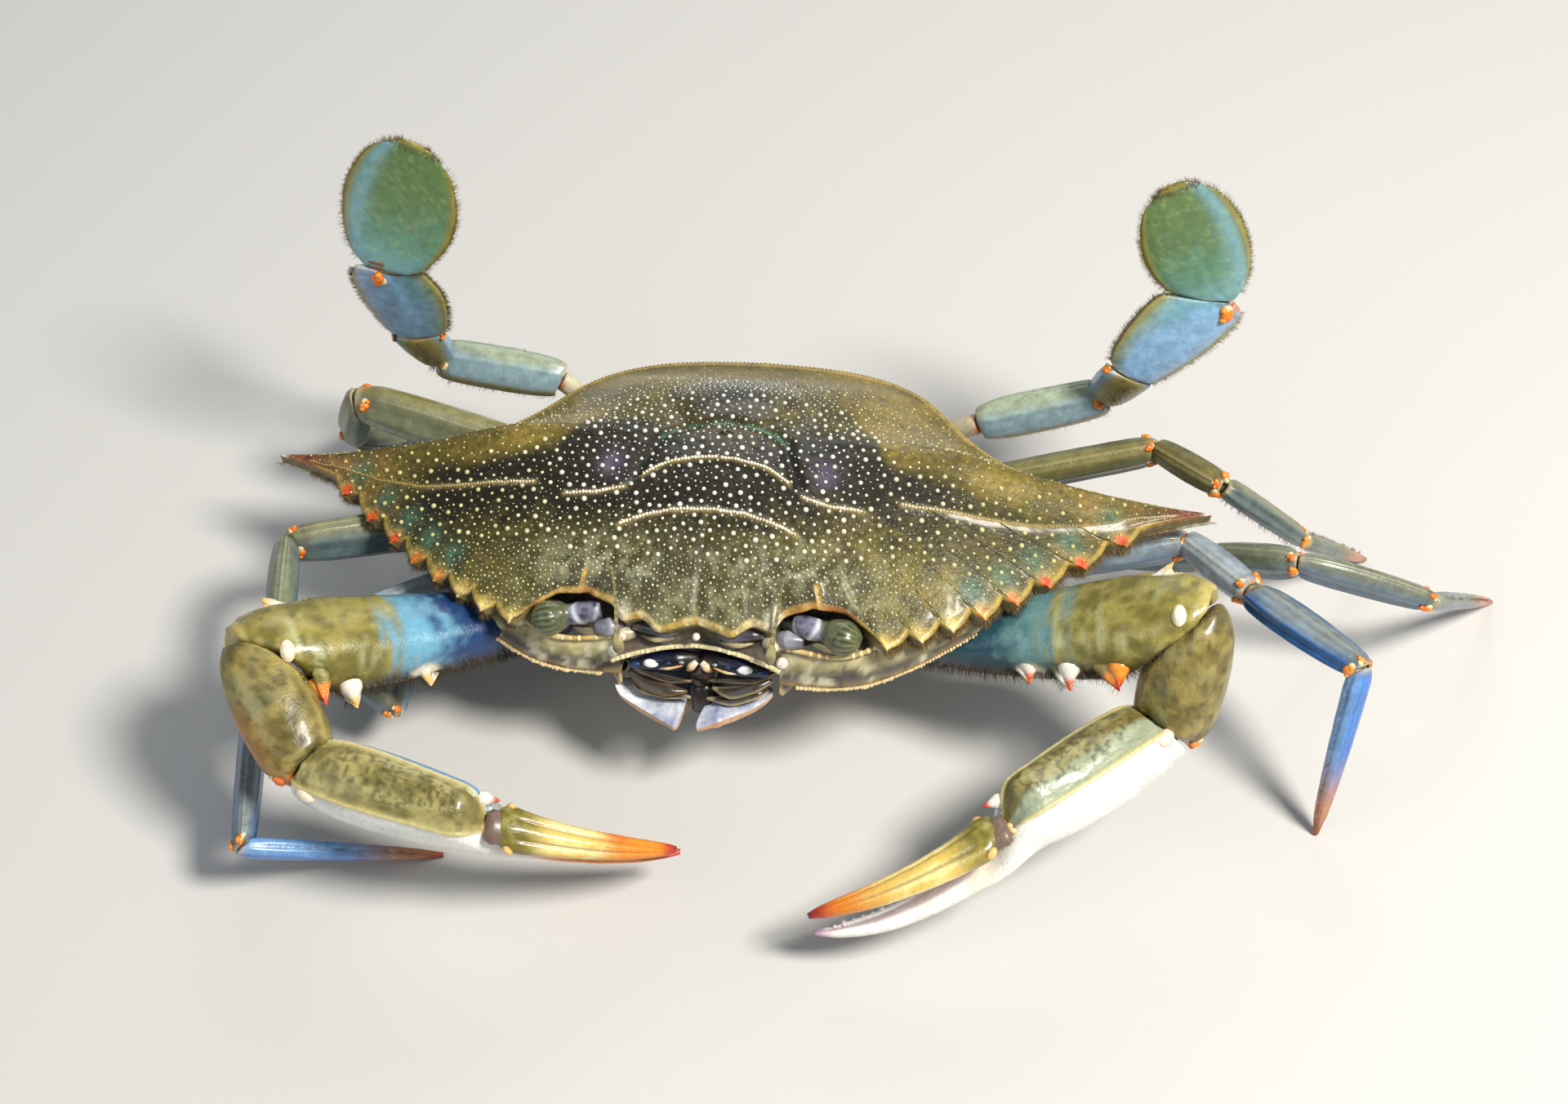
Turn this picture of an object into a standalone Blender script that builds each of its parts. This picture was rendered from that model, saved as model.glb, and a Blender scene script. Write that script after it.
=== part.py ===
"""Blue swimming crab (Callinectes sapidus), adult female, life size, standing: a still display model.

Lengths in the tables are millimetres and angles degrees. Body frame: x to the crab's left, y backwards,
z up from the level of the carapace margin. World frame: the crab faces -Y and its feet stand on z = 0.
"""

import math

import bmesh
import bpy
from mathutils import Matrix, Quaternion, Vector

for old in list(bpy.data.objects):
    bpy.data.objects.remove(old, do_unlink=True)

# ---------------------------------------------------------------- driving dimensions
MM = 0.001
GAP = 0.3                       # clearance at every joint
HALF_WIDTH = 75.0               # midline to the tip of a lateral spine
MARGIN_HEIGHT = 29.0            # carapace margin above the floor
PITCH, ROLL = 4.0, 3.5          # front raised, crab's left side raised
ORIGIN = (24.945, -18.585)      # floor point under the middle of the whole model
DOME = 12.4                     # height of the carapace over its margin

# Half of the carapace margin from the front's midline to the first tooth: (x, forward, z)
FRONT = ((0.0, 32.0, 1.3), (2.8, 32.9, 1.2), (5.6, 33.8, 0.9), (8.4, 31.7, 1.3), (11.4, 32.2, 1.2),
         (13.2, 30.0, 2.0), (16.0, 29.2, 2.7), (17.2, 28.7, 2.9), (18.6, 28.9, 2.9), (21.6, 28.7, 2.4),
         (23.0, 29.2, 2.0), (26.2, 30.9, 0.8))
# Tips of the nine anterolateral teeth, the ninth being the lateral spine: (x, forward)
TEETH = ((28.6, 33.0), (33.6, 30.7), (37.9, 28.1), (42.4, 25.1), (46.9, 21.6), (51.4, 17.5),
         (56.4, 12.9), (62.2, 7.3), (HALF_WIDTH, 0.0))
TOOTH_DEPTH = 1.7               # of the notches between the teeth
TOOTH_EDGE = (0.36, 0.72)       # shares of the way to the next tip: where an edge bulges, and its notch
SPINE_EDGE = (0.12, 0.24)       # the same before the lateral spine, whose front edge is long
# From the lateral spine round to the midline of the posterior margin: (x, forward, z)
REAR = ((69.0, -1.2, -0.1), (63.0, -2.6, -0.3), (56.5, -4.2, -0.5), (50.0, -6.0, -0.6), (44.5, -8.4, -0.7),
        (39.6, -11.8, -0.8), (35.2, -16.2, -0.9), (31.4, -21.0, -1.0), (27.6, -25.2, -1.2), (23.0, -28.2, -1.3),
        (17.5, -30.2, -1.3), (11.5, -31.3, -1.3), (5.5, -31.8, -1.3), (0.0, -32.0, -1.3))
CENTRE = (0.0, 1.5)             # where the radial lines of the carapace meet: (x, forward)
SHELL_SHARES = (0.10, 0.32, 0.55, 0.76, 0.92, 1.0)      # rings of the upper face, as shares of the way out
EYE_SOCKET = (12.5, 27.0)       # the orbit's inner and outer end, from the midline

# Where each leg leaves the body: outer end of its coxa, in the body frame of the left side
ROOTS = {"cheliped": (24.0, -18.0, -12.0), "leg2": (31.0, -6.0, -12.0), "leg3": (32.0, 4.0, -12.0),
         "leg4": (30.0, 13.0, -11.0), "leg5": (26.0, 24.6, -10.5)}
COXA_LENGTH = {"cheliped": 9.8, "leg2": 11.6, "leg3": 11.6, "leg4": 11.2, "leg5": 11.5}
COXA_RADIUS = {"cheliped": 5.0, "leg2": 4.1, "leg3": 4.1, "leg4": 3.7, "leg5": 2.9}

LENGTHS = {"cheliped": (52.5, 19.4, 30.6, 31.0), "leg2": (41.6, 15.0, 22.8, 30.8),
           "leg3": (43.8, 16.8, 22.6, 28.0), "leg4": (37.4, 13.8, 20.0, 25.8),
           "leg5": (11.9, 20.8, 10.9, 18.8, 24.4)}         # leg5's first belongs to its coxa

# Direction of each segment: (azimuth from +X towards the front, elevation). A walking leg's dactyl has
# azimuth alone, for its tip comes down to the floor.
POSE = {
    ("cheliped", "L"): ((6.0, 19.5), (107.5, -62.0), (136.0, -1.5), (153.4, -17.0)),
    ("cheliped", "R"): ((146.2, 17.0), (49.3, -28.4), (8.8, -5.0), (-14.1, -20.0)),
    ("leg2", "L"): ((-13.0, 6.5), (46.0, 7.0), (45.0, 9.5), (104.0,)),
    ("leg2", "R"): ((145.2, 0.2), (102.0, -4.9), (79.0, -6.0), (-22.0,)),
    ("leg3", "L"): ((-4.4, -2.7), (27.5, 29.5), (-3.0, -17.5), (-52.0,)),
    ("leg3", "R"): ((151.8, 10.6), (77.5, 3.8), (13.5, -36.0), (-98.5,)),
    ("leg4", "L"): ((-7.0, 17.0), (40.5, 9.0), (-14.0, -44.0), (-46.0,)),
    ("leg4", "R"): ((179.5, 18.5), (-132.5, -66.0), (-67.5, -37.5), (56.5,)),
    ("leg5", "L"): ((0.5, 30.8), (-10.5, 14.5), (47.5, 61.0), (-22.0, 43.5), (178.0, 66.0)),
    ("leg5", "R"): ((-172.0, 46.2), (179.5, 6.0), (112.0, 63.5), (118.5, 74.0), (-26.0, 70.0)),
}
# How far the upper edge of a leg leans back (degrees), which turns its flat faces
LEAN = {("leg2", "L"): 25, ("leg2", "R"): 10, ("leg3", "L"): 12, ("leg3", "R"): -3, ("leg4", "L"): 30,
        ("leg4", "R"): -35, ("cheliped", "L"): 8, ("cheliped", "R"): -4}
TWIST = {("leg2", "L"): 40}           # how much further its propodus and dactyl are turned, in degrees
CLAW_LENGTH = {"L": 1.0, "R": 0.93}   # the crab's right claw is the shorter, stouter one
CHELIPED_SAG = {"L": 3.0, "R": 1.1}   # how far the middle of the cheliped merus hangs below its joints
PALM_UP = {"L": (-0.40, -0.10, 0.91), "R": (0.12, -0.40, 0.91)}
PALM_RISE = {"L": 1.4, "R": 0.2}      # how far the palm's middle stands over the line between its joints
FINGER_BOW = {"L": 2.6, "R": 1.2}     # sideways curve of the fingers
FINGER_SLIM = {"L": 0.78, "R": 0.74}  # height of the fingers against the table's
FINGER_OPEN = {"L": math.radians(3.0), "R": 0.0}
# Spines on the front edge of the cheliped's merus: (along it, outwards, upwards, length, width)
MERUS_SPINES = {"L": ((25.0, 5.8, -3.0, 2.6, 1.3), (31.2, 6.6, -3.0, 3.2, 1.7), (39.0, 7.2, -2.5, 3.2, 1.7)),
                "R": ((25.0, 5.8, -3.0, 2.8, 1.4), (37.0, 6.8, -3.0, 4.2, 1.9), (42.2, 7.2, -2.0, 3.2, 1.8))}
PADDLE_WIDTH = {"L": 0.86, "R": 1.0}
PADDLE_FACE = {"L": (0.19, -0.95, 0.14), "R": (-0.05, -0.93, 0.36)}

# Leg sections: (position along the segment, half thickness, half height), end rings included
WALKING = {
    "merus": ((-.02, 1.5, 2.6), (.05, 2.2, 3.7), (.30, 2.7, 4.5), (.72, 2.7, 4.4), (.95, 2.5, 3.7),
              (1.02, 1.5, 2.4)),
    "carpus": ((-.06, 1.4, 2.1), (.10, 2.3, 3.3), (.50, 2.7, 3.9), (.88, 2.5, 3.6), (1.05, 1.5, 2.3)),
    "propodus": ((-.04, 1.4, 2.2), (.10, 2.0, 3.5), (.45, 2.0, 4.0), (.90, 1.8, 2.9), (1.03, 1.2, 1.7)),
    "dactyl": ((-.03, 1.1, 1.4), (.06, 1.6, 2.1), (.35, 1.5, 1.9), (.75, 1.1, 1.4), (1.0, .45, .5)),
}
# Claw sections; those of the fingers end with the rise of the section's centre
CLAW = {
    "merus": ((-.01, 3.2, 3.2), (.05, 4.2, 4.2), (.16, 4.9, 4.5), (.34, 5.8, 4.9), (.42, 6.2, 5.2),
              (.53, 6.8, 5.6), (.66, 7.3, 6.1), (.80, 7.6, 6.4), (.95, 6.8, 5.8), (1.04, 4.2, 3.8)),
    "carpus": ((-.10, 3.0, 2.9), (.06, 5.0, 4.9), (.35, 6.1, 5.8), (.65, 6.2, 6.0), (.90, 5.5, 5.6),
               (1.06, 3.2, 3.4)),
    "palm": ((-.08, 3.3, 3.2), (.02, 4.6, 4.7), (.20, 5.6, 6.0), (.48, 5.8, 6.4), (.76, 5.2, 6.1),
             (.92, 4.6, 5.5)),
    "fixed finger": ((.07, 3.6, 2.6, .0), (.20, 2.9, 2.3, -.1), (.45, 2.2, 2.0, -.4), (.70, 1.7, 1.7, -.5),
                     (.90, 1.1, 1.2, .1), (1.0, .5, .45, 1.0)),
    "movable finger": ((.0, 2.4, 1.9, 0.0), (.05, 3.4, 2.6, -.1), (.16, 3.1, 2.6, -.1), (.40, 2.4, 2.4, .2),
                       (.68, 1.8, 1.9, -.1), (.90, 1.1, 1.2, -.8), (1.0, .5, .45, -1.6)),
}
LEG_SCALE = {"leg2": 1.0, "leg3": 0.90, "leg4": 0.89}
SWIMMING = {
    "merus": ((-.03, 1.6, 2.4), (.08, 2.3, 3.4), (.45, 2.6, 3.9), (.92, 2.4, 3.6), (1.04, 1.4, 2.2)),
    "carpus": ((-.06, 1.5, 2.2), (.15, 2.1, 3.4), (.55, 2.2, 4.2), (.90, 1.7, 4.4), (1.04, 1.2, 3.0)),
    "propodus": ((-.03, 1.0, 3.6, 0, .4), (.08, 1.4, 5.2, 0, .7), (.35, 1.5, 6.6, 0, 1.1),
                 (.65, 1.4, 7.2, 0, 1.1), (.92, 1.1, 6.2, 0, .6), (1.05, .7, 4.0, 0, .2)),
    "paddle": ((-.02, .7, 3.0, 0, 0), (.07, 1.0, 5.6, 0, 0), (.25, 1.0, 8.1, 0, .2), (.48, .9, 9.3, 0, .4),
               (.70, .8, 8.4, 0, .3), (.88, .6, 6.0, 0, .2), (.99, .4, 2.0, 0, 0)),
}

# Its coxa and the short ischium after it, joined: (position along, share of the coxa's radius)
SWIMMING_COXA = (((0.0, .55), (0.15, .85), (0.75, .85)), ((.2, .72), (.50, .58), (.92, .66), (1.04, .48)))

SHELL = {"carapace": (0.10, 0.09, 0.04), "olive": (0.20, 0.20, 0.07), "blue": (0.06, 0.22, 0.52),
         "grey blue": (0.20, 0.30, 0.33), "pale": (0.70, 0.74, 0.74), "red": (0.80, 0.18, 0.05),
         "lavender": (0.33, 0.40, 0.62), "green": (0.10, 0.26, 0.12), "eye": (0.10, 0.11, 0.04),
         "dark blue": (0.05, 0.08, 0.16)}
ZUP = Vector((0, 0, 1))
BODY = (Matrix.Translation((-ORIGIN[0], -ORIGIN[1], MARGIN_HEIGHT))
        @ Matrix.Rotation(math.radians(-ROLL), 4, "Y") @ Matrix.Rotation(math.radians(-PITCH), 4, "X"))


# ---------------------------------------------------------------- helpers
def material(name, colour, roughness):
    made = bpy.data.materials.new(name)
    made.use_nodes = True
    shader = made.node_tree.nodes["Principled BSDF"]
    shader.inputs["Base Color"].default_value = (*colour, 1.0)
    shader.inputs["Roughness"].default_value = roughness
    return made


def add(name, points, faces, colour, origin, roughness=0.4):
    """An object from world points in millimetres, its origin at one of its joints, its normals outwards."""
    mesh = bpy.data.meshes.new(name)
    mesh.from_pydata([tuple((Vector(p) - origin) * MM) for p in points], [], faces)
    work = bmesh.new()
    work.from_mesh(mesh)
    bmesh.ops.recalc_face_normals(work, faces=work.faces)
    work.to_mesh(mesh)
    work.free()
    mesh.shade_smooth()
    mesh.materials.append(material(name + "_shell", SHELL[colour], roughness))
    made = bpy.data.objects.new(name, mesh)
    made.location = origin * MM
    bpy.context.scene.collection.objects.link(made)
    return made


def add_to_body(name, points, faces, colour, roughness=0.4):
    """The same from points in the body frame, with the origin under the middle of the carapace margin."""
    return add(name, [BODY @ Vector(p) for p in points], faces, colour, BODY.translation, roughness)


def disc(start, count):
    """An even-sided cap as a strip of quads, a quad for each pair of sides."""
    half = count // 2
    return [(start + i, start + i + 1, start + count - 2 - i, start + count - 1 - i) for i in range(half - 1)]


def loft(rings):
    """Points and quads of a tube through rings of equal, even size, with both ends closed."""
    count = len(rings[0])
    points = [p for ring in rings for p in ring]
    faces = []
    for r in range(len(rings) - 1):
        for i in range(count):
            j = (i + 1) % count
            faces.append((r * count + i, r * count + j, (r + 1) * count + j, (r + 1) * count + i))
    last = (len(rings) - 1) * count
    return points, faces + [f[::-1] for f in disc(0, count)] + disc(last, count)


def oval(centre, side, up, half_side, half_up, count, power=2.0):
    ring = []
    for i in range(count):
        a = 2 * math.pi * (i + 0.5) / count
        ca, sa = math.cos(a), math.sin(a)
        x = math.copysign(abs(ca) ** (2 / power), ca) * half_side
        y = math.copysign(abs(sa) ** (2 / power), sa) * half_up
        ring.append(centre + side * x + up * y)
    return ring


def direction(azimuth, elevation):
    a, e = math.radians(azimuth), math.radians(elevation)
    return Vector((math.cos(a) * math.cos(e), -math.sin(a) * math.cos(e), math.sin(e)))


def square_to(vector, axis):
    return (vector - axis * vector.dot(axis)).normalized()


def trim(rings, joint, axis, other, sign):
    """Keeps a segment on its own side of the joint's middle plane, pushing points along its axis."""
    normal = (axis + other).normalized()
    count = len(rings)
    for k, ring in enumerate(rings):
        spread = 0.05 * (count - 1 - k if sign > 0 else k)
        for i, p in enumerate(ring):
            over = GAP / 2 - (p - joint).dot(normal) * sign
            if over > 0:
                ring[i] = p + axis * (sign * (over + 0.05 * count - spread) / axis.dot(normal))
    return rings


def spike(points, faces, at, tip, width):
    """Grows a spine from the quad nearest a world point: the quad shrinks to a base, then to a tip."""
    def middle(f):
        return sum((points[i] for i in f), Vector()) / len(f)
    quads = [n for n, f in enumerate(faces) if len(f) == 4]
    near = min(quads, key=lambda n: (middle(faces[n]) - at).length)
    face, centre = faces[near], middle(faces[near])
    faces.pop(near)
    ring = list(face)
    size = sum((points[i] - centre).length for i in face) / 4
    wide = width / size
    for height, share in ((0.0, min(0.8, wide)), (0.55, 0.62 * wide), (1.0, 0.12 * wide)):
        new = []
        for i in face:
            points.append(centre + (tip - centre) * height + (points[i] - centre) * share)
            new.append(len(points) - 1)
        for a in range(4):
            b = (a + 1) % 4
            faces.append((ring[a], ring[b], new[b], new[a]))
        ring = new
    faces.append(tuple(ring))


# ---------------------------------------------------------------- carapace
def margin():
    """The carapace margin round the left half, front midline to rear midline: (x, forward, z, zone)."""
    half = [(x, f, z, "orbit" if EYE_SOCKET[0] < x < EYE_SOCKET[1] else "front") for x, f, z in FRONT]
    for n in range(len(TEETH) - 1):
        (x0, f0), (x1, f1) = TEETH[n], TEETH[n + 1]
        z0 = -0.2 if n else 0.0
        length = math.hypot(x1 - x0, f1 - f0)
        nx, nf = (f0 - f1) / length, (x1 - x0) / length      # outward from the margin
        half.append((x0, f0, z0, "tooth"))
        shares = TOOTH_EDGE if n < len(TEETH) - 2 else SPINE_EDGE
        for share, depth in zip(shares, (0.15, TOOTH_DEPTH)):
            half.append((x0 + (x1 - x0) * share - nx * depth, f0 + (f1 - f0) * share - nf * depth, z0, "side"))
    half.append((68.6, 1.9, 0.0, "spine"))
    half.append((HALF_WIDTH - 0.25, 0.35, 0.4, "spine"))
    half.append((HALF_WIDTH - 0.25, -0.35, 0.4, "spine"))
    half += [(x, f, z, "spine" if x > 60 else "rear") for x, f, z in REAR]
    return half


def smooth_radius(angle):
    """Radius of a plain oval inside the margin, without its teeth and with short spines."""
    c, s = math.cos(angle), math.sin(angle)
    reach = 31.0 if s > 0 else 31.5
    return 1.0 / ((abs(c) / 70.0) ** 1.9 + (abs(s) / reach) ** 1.9) ** (1 / 1.9)


def carapace():
    left = margin()
    whole = left + [(-x, f, z, zone) for x, f, z, zone in left[-2:0:-1]]
    rings = []
    for share in SHELL_SHARES:
        ring = []
        for x, f, z, _ in whole:
            dx, df = x - CENTRE[0], f - CENTRE[1]
            radius, angle = math.hypot(dx, df), math.atan2(df, dx)
            blend = max(0.0, (share - 0.55) / 0.45) ** 5
            reach = share * (radius * blend + min(radius, smooth_radius(angle)) * (1 - blend))
            px, pf = CENTRE[0] + math.cos(angle) * reach, CENTRE[1] + math.sin(angle) * reach
            flat = 1 - 0.55 * min(1.0, max(0.0, (abs(px) - 36) / 32))
            fall = 0.85 + 0.5 * min(1.0, max(0.0, (CENTRE[1] - pf) / 20))
            ring.append(Vector((px, -pf, z * share ** 3 + DOME * flat * (1 - share ** 2.2) ** fall)))
        rings.append(ring)
    for level in range(5):
        ring = []
        for x, f, z, zone in whole:
            radius = math.hypot(x, f - CENTRE[1])
            angle = math.atan2(f - CENTRE[1], x)
            ahead, behind = max(0.0, math.sin(angle)) ** 4, max(0.0, -math.sin(angle)) ** 2
            if level > 2:
                reach = min(radius, smooth_radius(angle)) * ((0.72, 0.40)[level - 3] + 0.14 * ahead)
                height = (-3.0 - 2.2 * ahead + 1.6 * behind, -5.4)[level - 3]
            elif zone == "orbit":
                reach = radius - (4.6, 4.4, -0.6)[level]
                height = (1.1, -2.3, -3.9)[level]
            elif zone == "front":
                reach = radius - (0.7, 1.2, 1.6)[level]
                height = (0.1, -1.4, -4.0)[level]
            else:
                narrow = 0.3 + 0.7 * min(1, (HALF_WIDTH - abs(x)) / 14)
                reach = radius - (0.6, 1.0, 3.0)[level] * narrow
                height = z - (0.8, 1.3, 2.0)[level]
            ring.append(Vector((math.cos(angle) * reach, -(CENTRE[1] + math.sin(angle) * reach), height)))
        rings.append(ring)
    points, faces = loft(rings)
    add_to_body("carapace", points, faces, "carapace", 0.45)


# ---------------------------------------------------------------- underside and head parts
def body_loft(name, sections, colour, count=12, power=2.4):
    """A solid through ovals square to y: (y, centre x, centre z, half width, half height)."""
    rings = [oval(Vector((x, y, z)), Vector((1, 0, 0)), ZUP, w, h, count, power) for y, x, z, w, h in sections]
    points, faces = loft(rings)
    return add_to_body(name, points, faces, colour)


def sternum():
    sections = ((-20.0, 0, -10.3, 6.0, 2.4), (-18.0, 0, -10.8, 12.0, 4.5), (-11.0, 0, -11.0, 16.4, 5.1),
                (-2.0, 0, -11.0, 19.4, 5.2), (8.0, 0, -10.9, 19.8, 5.1), (16.0, 0, -10.1, 17.0, 4.3),
                (21.0, 0, -9.1, 12.5, 2.9), (23.5, 0, -8.5, 8.0, 1.8))
    body_loft("sternum", sections, "pale", 14, 2.8)


# The folded abdomen: (y, half width, z, half thickness)
APRON = ((-7.5, 1.6, -17.3, 0.5), (-5.5, 5.0, -17.6, 0.9), (0.0, 10.2, -17.9, 1.2), (7.0, 14.2, -17.6, 1.25),
         (14.0, 14.8, -16.4, 1.2), (20.0, 12.0, -14.6, 1.2), (25.0, 10.0, -11.6, 1.2), (27.6, 9.4, -7.6, 1.2),
         (28.3, 9.0, -5.2, 0.8))


def abdomen():
    """The broad rounded apron of an adult female, folded forward under the sternum."""
    rings = []
    for y, w, z, thick in APRON:
        lean = min(1.0, max(0.0, (y - 14.0) / 13.0))
        up = Vector((0, lean, -(1 - lean))).normalized() * -1
        rings.append(oval(Vector((0, y, z)), Vector((1, 0, 0)), up, w, thick, 12, 2.6))
    points, faces = loft(rings)
    add_to_body("abdomen", points, faces, "pale")


def mouth_frame():
    sections = ((-29.0, 0, -8.2, 7.0, 1.4), (-28.4, 0, -8.6, 10.6, 2.2), (-25.5, 0, -9.3, 12.4, 2.9),
                (-22.5, 0, -9.8, 12.2, 3.2), (-20.6, 0, -10.0, 10.0, 2.6))
    body_loft("mouth_frame", sections, "dark blue", 12, 3.0)


# The outer mouthpart, ischium then merus: (y, x, z, half width, half thickness)
MAXILLIPED = ((-20.5, 5.6, -15.3, 2.2, .6), (-21.5, 5.7, -15.1, 3.0, .95), (-25.5, 5.2, -14.6, 3.9, 1.05),
              (-28.8, 5.2, -14.2, 4.0, 1.0), (-30.0, 5.6, -14.1, 4.2, .9), (-32.5, 6.6, -13.9, 5.4, .95),
              (-35.0, 6.7, -13.8, 5.6, .85), (-35.9, 6.4, -13.8, 4.8, .5))


def third_maxilliped(side):
    """The outer mouthpart, swung forward: a long ischium and a broad merus with a slanting front edge."""
    s = 1 if side == "L" else -1
    rings = []
    for y, x, z, w, t in MAXILLIPED:
        ring = oval(Vector((x, y, z)), Vector((1, 0, 0)), ZUP, w, t, 8, 2.6)
        slant = min(1.0, max(0.0, (-y - 27.0) / 9.0))
        for p in ring:
            p.y += slant * (p.x - 6.0) * 0.52
            p.z += 0.04 * max(0.0, p.x - 5.0) ** 2 * (0.4 + 0.6 * slant)
            p.x = p.x * s - 1.6 * slant
            p.y -= 1.8 * slant
        rings.append(ring)
    points, faces = loft(rings)
    add_to_body("third_maxilliped_" + side, points, faces, "lavender")


# Stalk then cornea: (share of the way out, half width, half height)
EYE = ((0, .9, .9), (.05, 1.4, 1.5), (.28, 1.75, 1.9), (.46, 1.6, 1.7), (.52, 2.0, 2.1), (.66, 2.5, 2.5),
       (.80, 2.55, 2.5), (.92, 1.9, 1.8), (1.0, .8, .8))


EYE_OUT = {"L": 0.0, "R": 1.0}   # how far the stalk is swung out in its orbit


def eye(side):
    """A short stalk lying in the orbit, ending in an egg-shaped cornea."""
    s = 1 if side == "L" else -1
    out = EYE_OUT[side]
    inner, outer = Vector((14.2 + out, -29.6, 0.2)), Vector((24.6 + out, -31.5 - 0.3 * out, -0.6))
    axis = (outer - inner).normalized()
    up = square_to(ZUP, axis)
    across = axis.cross(up)
    rings = []
    for t, w, h in EYE:
        rings.append(oval(inner + (outer - inner) * t, across, up, w, h, 10))
    for ring in rings:
        for p in ring:
            p.x *= s
    points, faces = loft(rings)
    add_to_body("eye_" + side, points, faces, "eye", 0.25)


# Antenna: (share of its length, radius)
WHIP = ((0, .75), (.06, .95), (.16, .85), (.24, .55), (.40, .42), (.60, .36), (.80, .31), (1.0, .27))


def antenna(side):
    """A peduncle in the gap of the orbit and a short whip curving up and back over the front."""
    s = 1 if side == "L" else -1
    rings = []
    for t, r in WHIP:
        turn = math.radians(20 + 120 * t)
        bend = 2.2 * math.sin(2 * turn) * (1 - t)
        centre = Vector((s * (11.4 + 1.6 * t), -34.0 + 5.4 * t - bend, -2.0 + 10.5 * t))
        rings.append(oval(centre, Vector((1, 0, 0)), Vector((0, 1, 0.5)).normalized(), r, r, 6))
    points, faces = loft(rings)
    add_to_body("antenna_" + side, points, faces, "olive")


# ---------------------------------------------------------------- legs
def chain(leg, side):
    """World joints and segment directions of a leg, its coxa included."""
    s = 1 if side == "L" else -1
    x, y, z = ROOTS[leg]
    root = BODY @ Vector((s * x, y, z))
    inner = BODY @ Vector((s * (x - COXA_LENGTH[leg]), y * 0.93, z + 0.4))
    joints, axes = [inner, root], [(root - inner).normalized()]
    for n, (length, angles) in enumerate(zip(LENGTHS[leg], POSE[leg, side])):
        if leg == "cheliped" and n > 1:
            length *= CLAW_LENGTH[side]
        if len(angles) == 1:
            fall = -math.degrees(math.asin(min(0.999, (joints[-1].z - 0.35) / length)))
            angles = (angles[0], fall)
        axes.append(direction(*angles))
        joints.append(joints[-1] + axes[-1] * length)
    return joints, axes


def frames(axes, first_up):
    """Height axis for each segment, carried along the leg by the turn at each joint."""
    ups = [square_to(first_up, axes[0])]
    for a, b in zip(axes, axes[1:]):
        ups.append(square_to(a.rotation_difference(b) @ ups[-1], b))
    return ups


def segment(joints, axes, n, up, rows, count, power=2.2, shift=None):
    """Rings of segment n, cut back at the joints at its ends."""
    a, b, axis = joints[n], joints[n + 1], axes[n]
    across = axis.cross(up)
    rings = []
    for row in rows:
        t, w, h = row[:3]
        centre = a + (b - a) * t
        if len(row) > 3:
            centre = centre + across * row[3] + up * row[4]
        rings.append(oval(centre, across, up, w, h, count, power))
    if n > 0:
        trim(rings, a, axis, axes[n - 1], 1)
    if n + 1 < len(axes):
        trim(rings, b, axis, axes[n + 1], -1)
    return rings


def coxa(leg, side, joints, axes):
    r = COXA_RADIUS[leg]
    up = square_to(ZUP, axes[0])
    rows = ((0.0, r * .55, r * .6), (0.22, r * .85, r * .95), (0.7, r * .8, r), (1.04, r * .5, r * .7))
    points, faces = loft(segment(joints, axes, 0, up, rows, 8))
    add(f"{leg}_coxa_{side}", points, faces, "pale", joints[0])


def walking_leg(leg, side):
    joints, axes = chain(leg, side)
    coxa(leg, side, joints, axes)
    lean = Quaternion(axes[1], math.radians(LEAN[leg, side] * (1 if side == "L" else -1)))
    ups = frames(axes[1:], lean @ square_to(ZUP, axes[1]))
    for n in (2, 3):
        ups[n] = Quaternion(axes[n + 1], math.radians(TWIST.get((leg, side), 0))) @ ups[n]
    size = LEG_SCALE[leg]
    colours = {"merus": "grey blue", "carpus": "grey blue", "propodus": "blue", "dactyl": "lavender"}
    for n, (part, table) in enumerate(WALKING.items(), start=1):
        rows = [(t, w * size, h * size) for t, w, h in table]
        rings = segment(joints, axes, n, ups[n - 1], rows, 8)
        if part == "dactyl":
            for ring in rings:
                for p in ring:
                    p.z = max(p.z, 0.0)
        points, faces = loft(rings)
        add(f"{leg}_{part}_{side}", points, faces, colours[part], joints[n])


def swimming_leg(side):
    joints, axes = chain("leg5", side)
    r = COXA_RADIUS["leg5"]
    rings = []
    for n, table in enumerate(SWIMMING_COXA):
        up = square_to(ZUP, axes[n])
        for t, w in table:
            rings.append(oval(joints[n].lerp(joints[n + 1], t), axes[n].cross(up), up, r * w * .85, r * w, 8))
    points, faces = loft(trim(rings, joints[2], axes[1], axes[2], -1))
    add(f"leg5_coxa_{side}", points, faces, "pale", joints[0])
    face = Vector(PADDLE_FACE[side])
    colours = {"merus": "grey blue", "carpus": "grey blue", "propodus": "lavender", "paddle": "green"}
    for n, (part, table) in enumerate(SWIMMING.items(), start=2):
        flat = square_to(face, axes[n])
        up = flat.cross(axes[n]) * (1 if side == "L" else -1)       # towards the midline
        if part == "paddle":
            table = [(t, w, h * PADDLE_WIDTH[side], aside, rise) for t, w, h, aside, rise in table]
        points, faces = loft(segment(joints, axes, n, up, table, 10 if part == "paddle" else 8))
        add(f"leg5_{part}_{side}", points, faces, colours[part], joints[n])


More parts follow.
